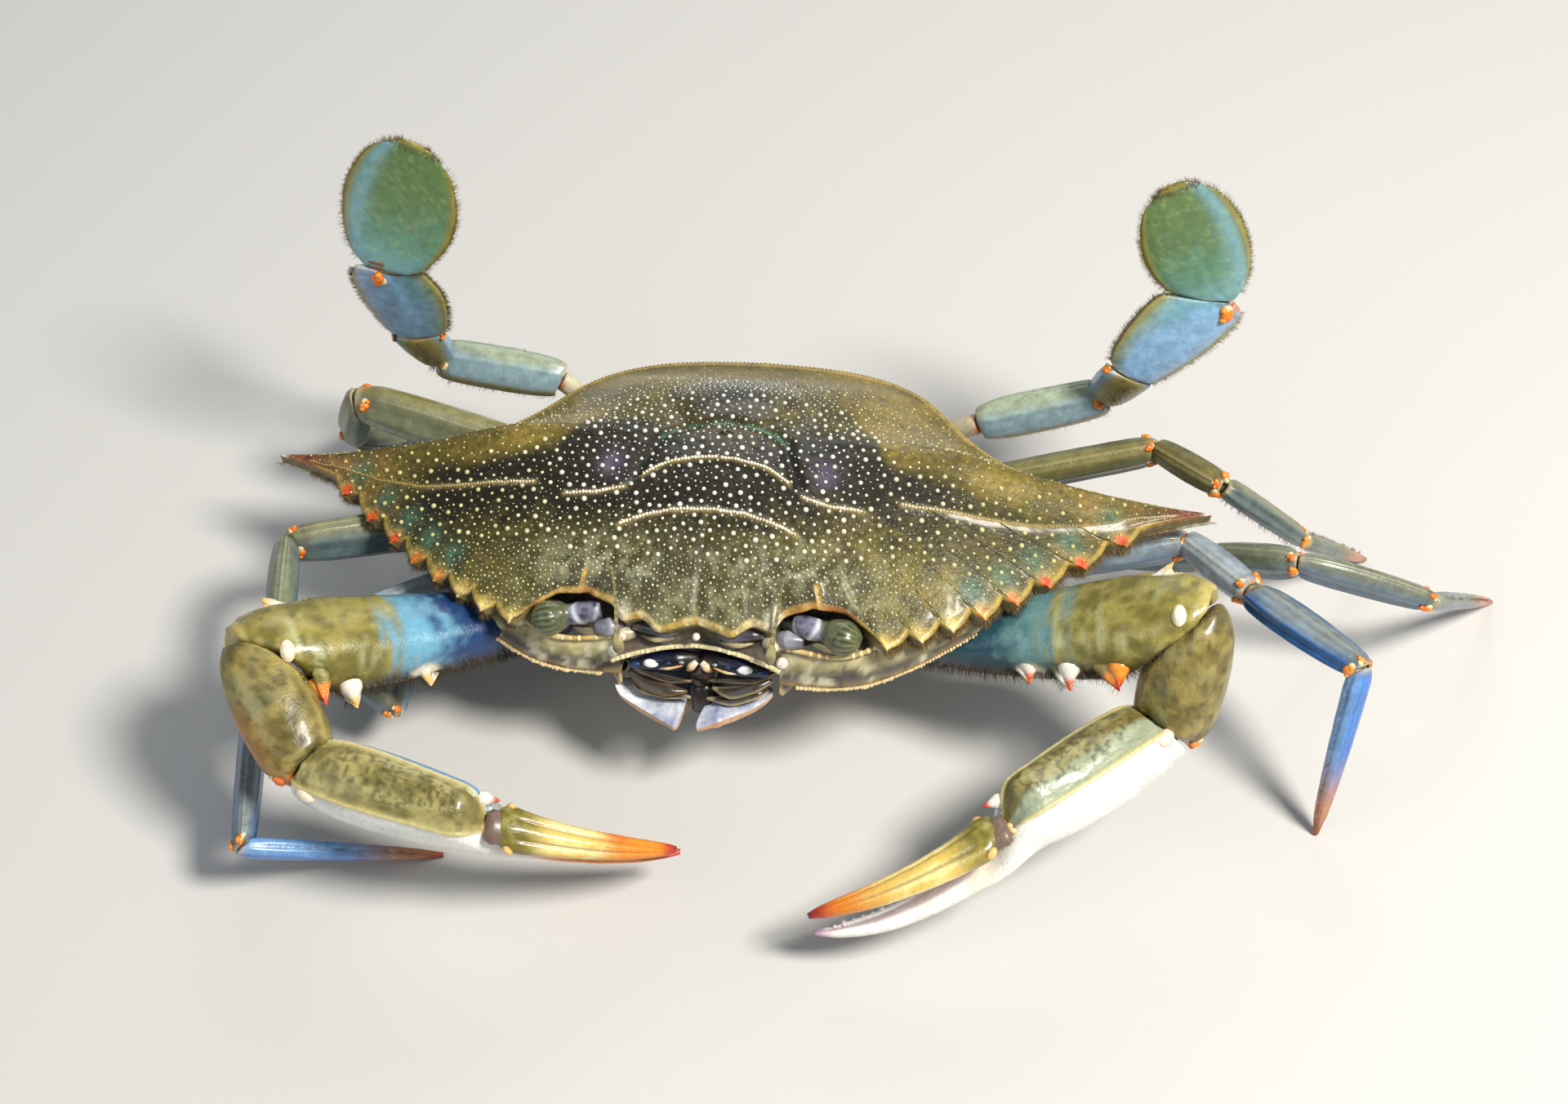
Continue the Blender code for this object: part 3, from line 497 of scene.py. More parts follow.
# ---------------------------------------------------------------- small shapes, made in numbers
class Bits:
    """Many small shapes joined in one mesh."""

    def __init__(self):
        self.points, self.faces, self.tints, self.roots, self.count = [], [], [], [], 0

    def add(self, points, faces, tints, root=None):
        self.points.append(points)
        self.faces.extend([tuple(i + self.count for i in face) for face in faces])
        self.tints.append(np.broadcast_to(linear(tints), (len(points), 3)))
        if root is not None:
            self.roots.append(np.tile(root, (len(points), 1)))
        self.count += len(points)

    def turned(self, place, normal, radius, profile, sides, tint, base_tint, stretch=1.0, along=None):
        """A turned shape on a surface; the profile is (share of radius, height) from its foot to its top."""
        normal = unit(normal)
        if along is None:
            along = (0.3, 0.9, 0.2) if abs(normal[2]) > 0.9 else (0, 0, 1)
        across = unit(np.cross(normal, along))
        ring = ring_of(sides, across, np.cross(normal, across) * stretch)
        rows = [place + ring * radius * share + normal * height for share, height in profile[:-1]]
        rows.append((place + normal * profile[-1][1])[None])
        faces = grid_faces(len(profile) - 1, sides) + fan((len(profile) - 2) * sides, sides)
        tints = np.tile(linear(tint), ((len(profile) - 1) * sides + 1, 1))
        tints[:sides] = linear(base_tint)
        self.add(np.vstack(rows), faces, tints)

    def dome(self, place, normal, radius, tint, base_tint, tall=0.75, sides=8):
        """A round bead, `tall` times its radius high; a small one with few sides has a row less."""
        high = tall * radius
        rows = ((1.0, -0.25 * radius), (0.92, 0.40 * high), (0.62, 0.62 / 0.75 * high), (0.0, high))
        if sides < 7:
            rows = rows[:2] + rows[3:]
        self.turned(place, normal, radius, rows, sides, tint, base_tint)

    def body_dome(self, place, normal, *rest):
        """A dome at a place of the body frame."""
        self.dome(placed(place), body_way(normal), *rest)

    def spine(self, place, way, radius, length, tint, tip_tint):
        """A smooth pointed spine with a swollen foot."""
        shares = np.linspace(0, 1, 9)
        radii = 1.15 * (1 - shares) ** 0.75 * (1 + 0.25 * bump(shares - 0.25, 0.2)) + 0.03
        way = unit(way)
        across = unit(np.cross(way, (0.2, 0.3, 0.93)))
        ring = ring_of(SPINE_SIDES, across, np.cross(way, across)) * radius
        rows = [place + way * (length * s - 0.3 * radius) + ring * r for s, r in zip(shares, radii)]
        faces = tube_faces(len(rows), SPINE_SIDES)
        del faces[-2]                      # the foot is inside the segment and stays open
        tints = mix(tint, tip_tint, step(0.5, 0.85, np.repeat(shares, SPINE_SIDES)))
        self.add(np.vstack(rows), faces, tints)

    def hair(self, place, way, length, width, tint, root, sink=0.3):
        """One seta: a thin curved three-sided cone, its tip sunk by a share of its length."""
        way = unit(way)
        across = unit(np.cross(way, (0.31, 0.2, 0.93)))
        other = np.cross(way, across)
        ring = np.array([across * math.cos(a) + other * math.sin(a) for a in (0, 2.09, 4.19)])
        droop = np.array((0, 0, -sink)) * length
        rows = [place + way * length * s + droop * s * s + ring * width * (1 - 0.75 * s) / 2
                for s in np.arange(HAIR_STEPS) / HAIR_STEPS]
        rows.append((place + way * length + droop)[None])
        self.add(np.vstack(rows), grid_faces(HAIR_STEPS, 3) + fan((HAIR_STEPS - 1) * 3, 3), tint, root)

    def piece(self, name, material, slot):
        points, tints = np.vstack(self.points), np.vstack(self.tints)
        made = mesh_piece(name, points, self.faces, material, tints)
        if self.roots:
            self.bake_map(made)

    def bake_map(self, made):
        """OFBake: each seta is a patch at its root's place on the unwrap of what it grows from."""
        roots = np.vstack(self.roots)
        spread = RNG.random((len(roots), 2)) * 0.003
        loops = np.empty(len(made.data.loops), np.int64)
        made.data.loops.foreach_get("vertex_index", loops)
        place = 0.002 + 0.99 * roots[loops] + spread[loops]
        made.data.uv_layers.new(name="OFBake").data.foreach_set("uv", place.ravel())


# ---------------------------------------------------------------- carapace
def tooth_depth(s, last, depth):
    """How far the margin lies inside the line between two teeth's tips, which stand out a little."""
    fall, before, after = (0.24, 1.5, 1.7) if last else (0.74, 2.3, 0.85)
    curve = np.where(s < fall, (s / fall) ** before, 1 - (np.maximum(s - fall, 0) / (1 - fall)) ** after)
    point = np.exp(-s / 0.07) + (0 if last else np.exp((s - 1) / 0.05))
    return depth * (curve - 0.33 * point)


def half_margin(notch=TOOTH_DEPTH):
    """The margin's left half from the front's midline to the rear's: (x, forward, z)."""
    rows = [spline(FRONT, 10)]
    for n, ((x0, f0), (x1, f1)) in enumerate(zip(TEETH, TEETH[1:])):
        last = n == len(TEETH) - 2
        s = np.linspace(0, 1, 44 if last else 30, endpoint=False)
        length = math.hypot(x1 - x0, f1 - f0)
        depth = tooth_depth(s, last, notch)
        z = -0.2 + 0.6 * s ** 2 if last else -0.2 * (np.minimum(1, 2 * s) if n == 0 else 1)
        x = x0 + (x1 - x0) * s - (f0 - f1) / length * depth
        f = f0 + (f1 - f0) * s - (x1 - x0) / length * depth
        rows.append(np.stack([x, f, z + 0 * s], axis=1))
    return np.vstack(rows + [spline(REAR, 11), REAR[-1:]])


def smooth_radius(angle):
    """Radius of a plain oval inside the margin, without its teeth and with short spines."""
    c, s = np.abs(np.cos(angle)), np.sin(angle)
    reach = np.where(s > 0, 31.0, 31.5)
    return 1.0 / ((c / 70.0) ** 1.9 + (np.abs(s) / reach) ** 1.9) ** (1 / 1.9)


def whole_margin(left):
    """The whole margin, its distance from the centre and its angle there."""
    whole = np.vstack([left, (left * (-1, 1, 1))[-2:0:-1]])
    x, f = whole[:, 0], whole[:, 1] - CENTRE_F
    return whole, np.hypot(x, f), np.arctan2(f, x)


def tip_radius():
    """Distance from the centre of the lines between the teeth's tips, at the margin's angles."""
    _, radius, angle = whole_margin(half_margin(0.0))
    order = np.argsort(angle)
    return np.interp(ANGLE, angle[order], radius[order], period=2 * math.pi)


LEFT_MARGIN = half_margin()
MARGIN, RADIUS, ANGLE = whole_margin(LEFT_MARGIN)
TIP_RADIUS = tip_radius()
# Three rings under the rim: inward reach and height at the orbits and the front, reach and fall at the sides
UNDER_RIMS = ((4.6, 1.1, 0.7, 0.1, 0.6, 0.8),
              (4.4, -2.3, 1.2, -1.4, 1.0, 1.3),
              (-0.6, -3.9, 1.6, -4.0, 3.0, 2.0))


def on_line(x, f, line, width, off=0.0):
    """1 at a distance `off` from a line that both halves of the shell have, and nothing far from it."""
    return bump(line_distance(np.abs(x), f, line)[0] - off, width)


def plane(x, f):
    """Places on the shell as points at one height, for noise."""
    return np.stack([x, f, 0 * x], axis=1)


def relief(x, f, edge):
    """Height added to the plain dome: lobes, grooves and ridges."""
    ax, grain = np.abs(x), plane(x, f)
    wavy = ax + 0.5 * noise(grain, 7.0, 3)
    height = 0.45 * bump(f - 10, 9) * bump(ax, 12) + 0.75 * bump(f + 9, 6.5) * bump(ax, 8)
    height += 0.65 * bump(f - 1, 10) * bump(ax - 29, 14) + 0.45 * bump(f - 22.5, 3.6) * bump(ax - 6, 4.2)
    height += 0.35 * bump(f + 20, 5) * bump(ax - 14, 9) - 0.35 * bump(f - 17, 4) * bump(ax - 26, 7)
    height -= 0.62 * bump(line_distance(wavy, f, GROOVE)[0], 1.0)
    height -= 0.45 * bump(line_distance(wavy, f, REAR_GROOVE)[0], 1.5)
    for line in RIDGES:
        height += 0.34 * on_line(x, f, line, 0.75)
    height -= 0.30 * bump(np.hypot(ax - 16.6, (f - 8.4) * 0.8), 1.7)
    height -= 0.25 * bump(ax, 0.8) * step(23.5, 27.0, f) + 0.35 * bump(ax - 10.2, 1.2) * step(24, 29, f)
    height += 0.30 * on_line(x, f, FISSURE, 0.35, 0.45) - 0.30 * on_line(x, f, FISSURE, 0.25)
    height += 0.40 * on_line(x, f, BROW, 0.9)
    inside = step(0.2, 3.0, edge)
    height = height * inside + 0.24 * bump(edge - 0.45, 0.38)
    return height + inside * (0.10 * noise(grain, 2.6, 5, 2) + 0.05 * noise(grain, 0.9, 6))


def smooth_band(x, f):
    """1 on the bare rear band and on the stretch behind the branchial ridge."""
    ax = np.abs(x)
    ridge = np.interp(ax, (0, 18, 26, 40, 56, 70), (-14.5, -7.0, 6.5, 8.0, 3.6, -0.6))
    return 1 - step(-3.5, 0.5, f - ridge)


def shell_ground(x, f, broad, middle, fine):
    """Olive ground colour, almost black in the middle, whitish in front and golden on the rear bands."""
    ax = np.abs(x)
    tint = mix((78, 72, 30), (132, 118, 46), step(-0.5, 0.6, middle + 0.6 * broad))
    dark = 1.3 * bump(f - 13, 9.5) * bump(x, 18) + 1.25 * bump(f - 10, 10) * bump(x + 31, 19)
    dark += 0.95 * bump(f - 9, 8) * bump(x - 27, 13) + 0.85 * bump(f + 6, 8) * bump(ax, 11)
    dark += 0.7 * bump(f - 3, 6) * bump(ax - 17, 9) + 0.4 * bump(f - 14, 8) * bump(ax - 44, 10)
    tint = mix(tint, (27, 23, 8), np.clip(dark * (0.95 + 0.55 * middle + 0.35 * fine), 0, 0.97))
    front = step(19.0, 25.0, f + 0.05 * ax) * (1 - step(22, 34, ax))
    pale = mix((70, 66, 34), (134, 134, 100), step(-0.35, 0.5, fine + 0.4 * middle))
    tint = mix(tint, pale, 0.75 * front)
    golden = mix((98, 86, 30), (146, 126, 50), step(-0.5, 0.6, broad + 0.5 * fine))
    tint = mix(tint, golden, 0.9 * smooth_band(x, f))
    tint = mix(tint, (92, 96, 92), 0.6 * bump(f + 15, 5.5) * bump(ax, 13))
    side = mix((104, 90, 40), (134, 92, 60), step(-0.2, 0.5, middle))
    return mix(tint, side, 0.65 * step(46, 66, ax))


def teeth_tint(tint, ax, f):
    """Teal at the feet of the rear teeth; cream points in front, orange-red ones behind."""
    for n, (tx, tf) in enumerate(TEETH[:8]):
        away = np.hypot(ax - tx, f - tf)
        tint = mix(tint, mix((206, 178, 92), (150, 128, 60), n / 8), 0.85 * (1 - step(1.2, 3.0, away)))
        if n >= 3:
            tint = mix(tint, (72, 124, 104), 0.6 * bump(np.hypot(ax - tx + 2.4, f - tf + 3.2), 1.9))
            tip = mix((226, 150, 60), (222, 84, 30), min(1.0, (n - 3) / 2))
            tint = mix(tint, tip, 1 - step(0.5, 1.35, np.hypot(ax - tx + 0.5, f - tf + 0.4)))
        else:
            tint = mix(tint, (240, 214, 136), 1 - step(0.4, 1.7, away))
    reddish = step(64.5, 70.5, ax) * step(-3.5, -2.0, f)
    tint = mix(tint, (122, 62, 46), 0.8 * reddish)
    return mix(tint, (238, 226, 214), 1 - step(0.4, 1.8, np.hypot(ax - HALF_WIDTH, f)))


def top_tint(x, f, edge):
    """Colour of the upper shell."""
    ax, place = np.abs(x), plane(x, f)
    broad, middle, fine = noise(place, 9, 21, 2), noise(place, 3.2, 22, 2), noise(place, 1.3, 23, 2)
    blotch = step(-0.5, 0.3, middle + fine)
    tint = coats(
        shell_ground(x, f, broad, middle, fine),
        ((24, 22, 12), 0.6 * on_line(x, f, GROOVE, 0.8)),
        ((86, 142, 106), 0.6 * on_line(x, f, GROOVE[:3], 0.42, 0.1) * blotch),
        ((104, 94, 116), 0.75 * bump(np.hypot(ax - 16.6, (f - 8.4) * 0.8), 2.0)),
        ((52, 44, 22), 0.75 * on_line(x, f, BROW_SHADE, 0.9)),
        ((168, 168, 138), 0.6 * on_line(x, f, BROW, 0.9) * step(-0.4, 0.3, fine)))
    for line in RIDGES:
        tint = mix(tint, (176, 154, 92), 0.75 * on_line(x, f, line, 0.4) * (1 - step(44, 60, ax)))
    rim = 1 - step(0.3, 1.1, edge)
    orbital = bump(ax - 20, 8.5) * step(20, 26, f)
    rim_tint = mix((186, 156, 74), mix((222, 184, 98), (168, 104, 44), step(-0.3, 0.3, middle)), orbital)
    bright = step(24, 28, f) * (1 - step(12, 14, ax)) * rim * step(-0.3, 0.2, fine)
    tint = coats(
        tint,
        (rim_tint, 0.85 * rim),
        ((228, 214, 160), 0.7 * bright),
        ((244, 236, 204), 0.85 * bump(np.hypot(ax - 11.6, f - 31.4), 1.3)),
        ((214, 172, 88), 0.9 * on_line(x, f, FISSURE, 0.22, 0.2)))
    return teeth_tint(tint, ax, f)


def carapace_top():
    """Rows of body points from the middle to the margin, one row for each share, and their tints."""
    shares = np.concatenate([np.linspace(0, 1, 121)[1:-1] ** 0.92, (0.9955, 1.0)])
    blend = (np.maximum(0, (shares - 0.55) / 0.45) ** 5)[:, None]
    reach, even = (shares[:, None] * (rim * blend + np.minimum(rim, smooth_radius(ANGLE)) * (1 - blend))
                   for rim in (RADIUS, TIP_RADIUS))
    x = np.cos(ANGLE) * reach
    f = CENTRE_F + np.sin(ANGLE) * reach
    flat = 1 - 0.55 * np.clip((np.abs(x) - 36) / 32, 0, 1)
    far = np.stack([np.interp(reach[:, k], even[:, k], shares) for k in range(len(ANGLE))], axis=1)
    fall = 0.85 + 0.5 * np.clip((CENTRE_F - f) / 20, 0, 1)
    z = MARGIN[:, 2] * far ** 3 + DOME * flat * (1 - far ** 2.2) ** fall
    z -= NOTCH_DROP * (z[-1] - MARGIN[:, 2]) * step(0.95, 1.0, shares)[:, None]
    x, f, z, edge = (v.ravel() for v in (x, f, z, RADIUS - reach))
    return len(shares), np.stack([x, f, z + relief(x, f, edge)], axis=1), top_tint(x, f, edge)


def under_levels(orbit, front):
    """Distance from the centre and height of the underside's rings, with the orbits hollowed in."""
    ahead, behind = np.maximum(0, np.sin(ANGLE)) ** 4, np.maximum(0, -np.sin(ANGLE)) ** 2
    side = 1 - orbit - front
    narrow = 0.3 + 0.7 * np.minimum(1, (HALF_WIDTH - np.abs(MARGIN[:, 0])) / 14)
    plain = np.minimum(RADIUS, smooth_radius(ANGLE))
    levels = [(RADIUS, MARGIN[:, 2])]
    for orbit_in, orbit_z, front_in, front_z, side_in, side_fall in UNDER_RIMS:
        reach = RADIUS - (orbit * orbit_in + front * front_in + side * side_in * narrow)
        levels.append((reach, orbit * orbit_z + front * front_z + side * (MARGIN[:, 2] - side_fall)))
    levels.append((plain * (0.72 + 0.14 * ahead), -3.0 - 2.2 * ahead + 1.6 * behind))
    levels.append((plain * (0.40 + 0.14 * ahead), -5.4 + 0 * ahead))
    levels.append((plain * 0.04, -5.4 + 0 * ahead))
    return np.array(levels)


def carapace_under():
    """Rows of body points from the margin to the middle of the underside, and their tints."""
    ax = np.abs(MARGIN[:, 0])
    forward = step(18, 22, MARGIN[:, 1])
    orbit = step(11.8, 13.6, ax) * (1 - step(26.2, 28.0, ax)) * forward
    front = (1 - step(11.8, 13.6, ax)) * forward
    levels = under_levels(orbit, front)
    rows = spline(levels.reshape(len(levels), -1), 8)[1:].reshape(-1, 2, len(MARGIN))
    depth = np.repeat(np.arange(len(rows)) / 8, len(MARGIN))
    x, f = np.cos(ANGLE) * rows[:, 0], CENTRE_F + np.sin(ANGLE) * rows[:, 0]
    points = np.stack([x.ravel(), f.ravel(), rows[:, 1].ravel()], axis=1)
    orbit, front = np.tile(orbit, len(rows)), np.tile(front, len(rows))
    small = noise(points, 1.6, 31, 2)
    tint = coats(
        mix((150, 138, 84), (206, 208, 190), step(1.2, 3.0, depth)),
        ((96, 74, 42), 0.65 * (1 - step(1.0, 2.4, np.abs(depth - 0.8))) * (1 - orbit) * (1 - front)),
        ((60, 50, 44), orbit * step(0.3, 0.9, depth) * (1 - step(1.9, 2.6, depth))),
        ((196, 150, 82), orbit * bump(depth - 2.85, 0.35)),
        ((172, 160, 108), orbit * step(3.0, 3.4, depth) * (1 - step(4.2, 5, depth))),
        ((52, 46, 40), 0.85 * front * step(0.5, 1.1, depth) * (1 - step(3.8, 4.6, depth))))
    points[:, 2] += 0.12 * small * step(0.6, 1.4, depth)
    return points, tint * (1 + 0.25 * small[:, None])


def carapace():
    """The carapace's skin; returns its upper surface in the body frame, for rays."""
    top_rows, top, top_colours = carapace_top()
    under, under_colours = carapace_under()
    columns = len(MARGIN)
    middle = np.array([[0, CENTRE_F, DOME + relief(np.zeros(1), np.full(1, CENTRE_F), np.full(1, 30.0))[0]]])
    points = np.vstack([middle, top, under])
    tints = np.vstack([top_colours[:1], top_colours, under_colours])
    faces = [(1 + k, 1 + (k + 1) % columns, 0) for k in range(columns)]
    faces += grid_faces((len(points) - 1) // columns, columns, start=1)
    faces.append(tuple(range(len(points) - columns, len(points))))
    mesh_piece("carapace_skin", placed(points), faces, "carapace", tints, "carapace")
    return BVHTree.FromPolygons(top.tolist(), grid_faces(top_rows, columns))


def on_shell(x, f):
    """The shell's upper surface over a body-frame place, and its normal, still in the body frame."""
    hit, normal, _, _ = TREE.ray_cast(Vector((x, f, 60)), Vector((0, 0, -1)))
    if hit is None:
        return None, None
    normal = np.array(normal)
    return np.array(hit), normal if normal[2] > 0 else -normal


def body_way(vector):
    """World direction of a body-frame one."""
    return placed(vector) - placed((0, 0, 0))


def inside_margin(x, f):
    """How far places lie inside the margin, measured from the centre outwards."""
    angle = np.arctan2(f - CENTRE_F, x)
    order = np.argsort(ANGLE)
    radius = np.interp(angle, ANGLE[order], RADIUS[order], period=2 * math.pi)
    return radius - np.hypot(x, f - CENTRE_F)


def scatter(spacing, keep, tries, clear=()):
    """Places on the shell and their spacing; `keep` gives each place's chance and factor of spacing."""
    x, f = RNG.uniform(-74, 74, tries), RNG.uniform(-30, 33, tries)
    margin = inside_margin(x, f)
    chance, factor = keep(x, f, margin)
    good = (RNG.random(tries) < chance) & (margin > 0.7)
    cells, found = {}, []
    for spot in clear:
        cells.setdefault((int(spot[0] // CELL), int(spot[1] // CELL)), []).append(spot)
    for px, pf, k in zip(x[good], f[good], factor[good]):
        gap = spacing * k
        cx, cf = int(px // CELL), int(pf // CELL)
        around = (q for a in (-1, 0, 1) for b in (-1, 0, 1) for q in cells.get((cx + a, cf + b), ()))
        if all((px - q[0]) ** 2 + (pf - q[1]) ** 2 > (0.5 * (gap + q[2])) ** 2 for q in around):
            cells.setdefault((cx, cf), []).append((px, pf, gap))
            found.append((px, pf, gap))
    return found


def ridge_gap(x, f):
    """Distance from the nearest ridge, groove or fissure that granules keep clear of."""
    return np.minimum.reduce([np.full(len(x), 9.0)] + [
        line_distance(np.abs(x), f, line)[0] for line in RIDGES + (GROOVE[:3], FISSURE)])


def large_field(x, f, margin):
    """Chance and spacing factor of the large granules; the next two functions serve the smaller ones."""
    ax = np.abs(x)
    field = (1 - smooth_band(x, f)) * (1 - step(54, 64, ax)) * (1 - step(20.5, 25.0, f + 0.10 * ax))
    field *= step(-10, -5, f) * step(0.5, 0.9, ridge_gap(x, f)) * step(1.2, 2.4, margin)
    return field, 1 + 0.12 * step(30, 50, ax) - 0.2 * step(14, 21, f)


def middling_field(x, f, margin):
    ax = np.abs(x)
    field = (1 - 0.93 * smooth_band(x, f)) * (1 - step(64, 71, ax)) * step(0.3, 0.6, ridge_gap(x, f))
    field *= step(-20, -12, f + 0.1 * ax) * step(0.8, 1.6, margin)
    return field * 0.9, 1 + 0.3 * step(35, 60, ax) - 0.2 * step(20, 25, f)


def tiny_field(x, f, _):
    ax = np.abs(x)
    rear = bump(f + 9, 8) * (1 - step(10, 18, ax))
    front = step(14, 22, f + 0.12 * ax) * (1 - step(40, 60, ax))
    return np.clip(rear + front + 0.22, 0, 1) * (1 - 0.85 * smooth_band(x, f) * (1 - rear)), np.ones(len(x))


def granule_tint(x, f):
    """Cream-white in the middle, blue-white behind, yellower and greener towards the sides."""
    cool = math.exp(-((f - 8) / 20) ** 2 - (x / 30) ** 2)
    pale = mix((206, 196, 118), (248, 248, 232), min(1.0, 1.25 * cool))
    return mix(pale, (214, 224, 236), 0.7 * float(bump(f + 9, 8) * bump(x, 13)))


def granules():
    """Round enamel granules of three sizes, no two of them touching."""
    bits = Bits()
    large = scatter(1.62, large_field, 90000)
    middling = scatter(0.84, middling_field, 90000, large)
    tiny = scatter(0.46, tiny_field, 110000, large + middling)
    for group, sides, low, high in ((large, 9, 0.24, 0.46), (middling, 7, 0.11, 0.24), (tiny, 5, 0.07, 0.13)):
        for x, f, _ in group:
            place, normal = on_shell(x, f)
            if place is not None:
                radius = low + (high - low) * RNG.random() ** 1.4
                pale = granule_tint(x, f) * RNG.uniform(0.72, 1.08)
                bits.body_dome(place, normal, radius, pale, mix(pale, (60, 50, 24), 0.7), 0.9, sides)
    return bits


def run_along(points):
    """Length along a line of body points, measured in the plane, at each of them."""
    return np.concatenate([[0], np.cumsum(np.hypot(*np.diff(points[:, :2], axis=0).T))])


def ridge_beads():
    """Beads along the ridges and along the rear rim."""
    beads = Bits()
    for line, sign in ((line, sign) for line in RIDGES for sign in (1, -1)):
        fine = spline(line, 24)
        _, run = line_distance(fine[:, 0], fine[:, 1], line)
        for s in np.arange(0.2, run.max(), 0.52):
            x, f = sign * np.interp(s, run, fine[:, 0]), np.interp(s, run, fine[:, 1])
            place, normal = on_shell(x, f + RNG.normal(0, 0.05))
            if place is not None:
                warm = step(18, 50, abs(x))
                tint = mix((252, 244, 216), (190, 160, 84), warm) * RNG.uniform(0.85, 1.05)
                size = RNG.uniform(0.22, 0.32) * (1 - 0.35 * warm)
                beads.body_dome(place, normal, size, tint, mix(tint, (120, 96, 50), 0.5), 0.95, 7)
    rim = LEFT_MARGIN[(LEFT_MARGIN[:, 1] < -1.0) & (LEFT_MARGIN[:, 0] < 70)]
    run = run_along(rim)
    for sign, s in ((sign, s) for sign in (1, -1) for s in np.arange(0, run.max(), 0.7)):
        x, f, z = (np.interp(s, run, rim[:, k]) for k in range(3))
        beads.body_dome((sign * x * 0.994, f * 0.994, z + 0.18), (sign * x * 0.3, f, 12), 0.24,
                        (204, 172, 84), (120, 96, 40), 0.8, 6)
    return beads


TREE = carapace()
granules().piece("carapace_granules", "granule", "carapace_shell")
ridge_beads().piece("carapace_ridge_beads", "granule", "carapace_shell")


# ---------------------------------------------------------------- limbs
WALKING = ("leg2", "leg3", "leg4")
SEGMENTS = {"cheliped": ("coxa", "merus", "carpus", "palm", "finger"),
            **{leg: ("coxa", "merus", "carpus", "propodus", "dactyl") for leg in WALKING},
            "leg5": ("coxa", "merus", "carpus", "propodus", "paddle")}
LEVELS = {"coxa": 2, "palm": 4}         # how often a segment is subdivided where it isn't 3 times
# Setae of the walking legs: angle of the section, from and to along the segment, count, length
HAIR_ROWS = {"merus": ((180, 0.1, 0.97, 60, 0.8),),
             "propodus": ((180, 0.1, 0.97, 90, 1.0), (0, 0.3, 0.97, 60, 0.6)),
             "dactyl": ((0, 0.06, 0.9, 90, 0.7), (180, 0.06, 0.9, 90, 0.7))}
# Colours of the upper edge, the faces and the lower edge
LOOKS = {("leg2", "merus"): ((150, 166, 176), (104, 132, 156), (84, 116, 148)),
         ("leg2", "carpus"): ((166, 178, 184), (134, 152, 170), (120, 130, 138)),
         ("leg2", "propodus"): ((116, 132, 138), (44, 100, 162), (36, 116, 208)),
         ("leg2", "dactyl"): ((120, 170, 224), (64, 130, 214), (150, 130, 122)),
         ("leg3", "merus"): ((132, 134, 100), (104, 124, 124), (120, 140, 150)),
         ("leg3", "carpus"): ((128, 134, 108), (106, 128, 134), (104, 138, 160)),
         ("leg3", "propodus"): ((126, 132, 112), (98, 124, 144), (96, 138, 172)),
         ("leg3", "dactyl"): ((132, 140, 132), (116, 138, 160), (138, 148, 160)),
         ("leg4", "merus"): ((134, 128, 78), (112, 118, 88), (152, 158, 140)),
         ("leg4", "carpus"): ((126, 116, 66), (108, 108, 72), (124, 134, 120)),
         ("leg4", "propodus"): ((118, 120, 84), (98, 112, 108), (110, 136, 146)),
         ("leg4", "dactyl"): ((124, 122, 84), (114, 124, 116), (134, 142, 136)),
         ("leg5", "merus"): ((166, 180, 150), (150, 178, 188), (150, 134, 60)),
         ("leg5", "carpus"): ((160, 180, 178), (148, 184, 208), (150, 138, 74)),
         ("leg5", "propodus"): ((140, 164, 146), (140, 184, 222), (162, 190, 218))}
CREAM, ORANGE, WHITE = rgb(226, 210, 158), rgb(232, 102, 18), rgb(240, 236, 222)
BROWN, FRINGE_TINT = rgb(92, 70, 40), rgb(122, 104, 60)
PALM_HALF = (5.4, 6.2)      # half width and half height of the palm
PALM_UP = {"L": (-0.40, -0.10, 0.91), "R": (0.12, -0.40, 0.91)}

CONDYLES, MEMBRANES, SPINES, TEETH_BITS, BEADS, FRINGE = Bits(), Bits(), Bits(), Bits(), Bits(), Bits()
ATLAS = {node: n for n, node in enumerate(sorted(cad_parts))}
ATLAS_SIDE = 8


def atlas(node, along, round_it):
    """Place on the common unwrap, where each node has a cell: its length across, its girth upwards."""
    n = ATLAS[node]
    return np.array((n % ATLAS_SIDE + along % 1, n // ATLAS_SIDE + round_it % 1)) / ATLAS_SIDE


def ridge_lift(part, angles, height, width):
    """Height of narrow ridges along a part at the given angles of its section."""
    total = np.zeros(len(part.points))
    for angle in angles:
        off = np.arctan2(np.sin(part.angle - math.radians(angle)), np.cos(part.angle - math.radians(angle)))
        total += height * bump(off, width)
    return total * step(0.0, 0.10, part.t) * (1 - step(0.90, 0.96, part.t))


def knob(place, normal, size):
    """An uneven cluster of orange condyles with a pale one beside them."""
    beside = unit(np.cross(normal, RNG.normal(0, 1, 3))) * size
    profile = ((1.0, -0.3 * size), (0.95, 0.12 * size), (0.6, 0.3 * size), (0.0, 0.36 * size))
    CONDYLES.turned(place + 0.8 * beside, normal, 0.75 * size, profile, 12, CREAM, CREAM * 0.5,
                    stretch=RNG.uniform(0.7, 1.3))
    profile = ((1.0, -0.2 * size), (1.0, 0.20 * size), (0.78, 0.46 * size), (0.4, 0.60 * size),
               (0.0, 0.64 * size))
    for share, spread in ((1.0, 0.1), (0.62, 0.9), (0.5, 1.0)):
        aside = unit(np.cross(normal, RNG.normal(0, 1, 3))) * spread * size * 0.9
        tint = mix(ORANGE, (244, 162, 52), RNG.random() * 0.8)
        CONDYLES.turned(place + aside, normal, share * size, profile, 12, tint, ORANGE * 0.5,
                        stretch=RNG.uniform(0.7, 1.1))


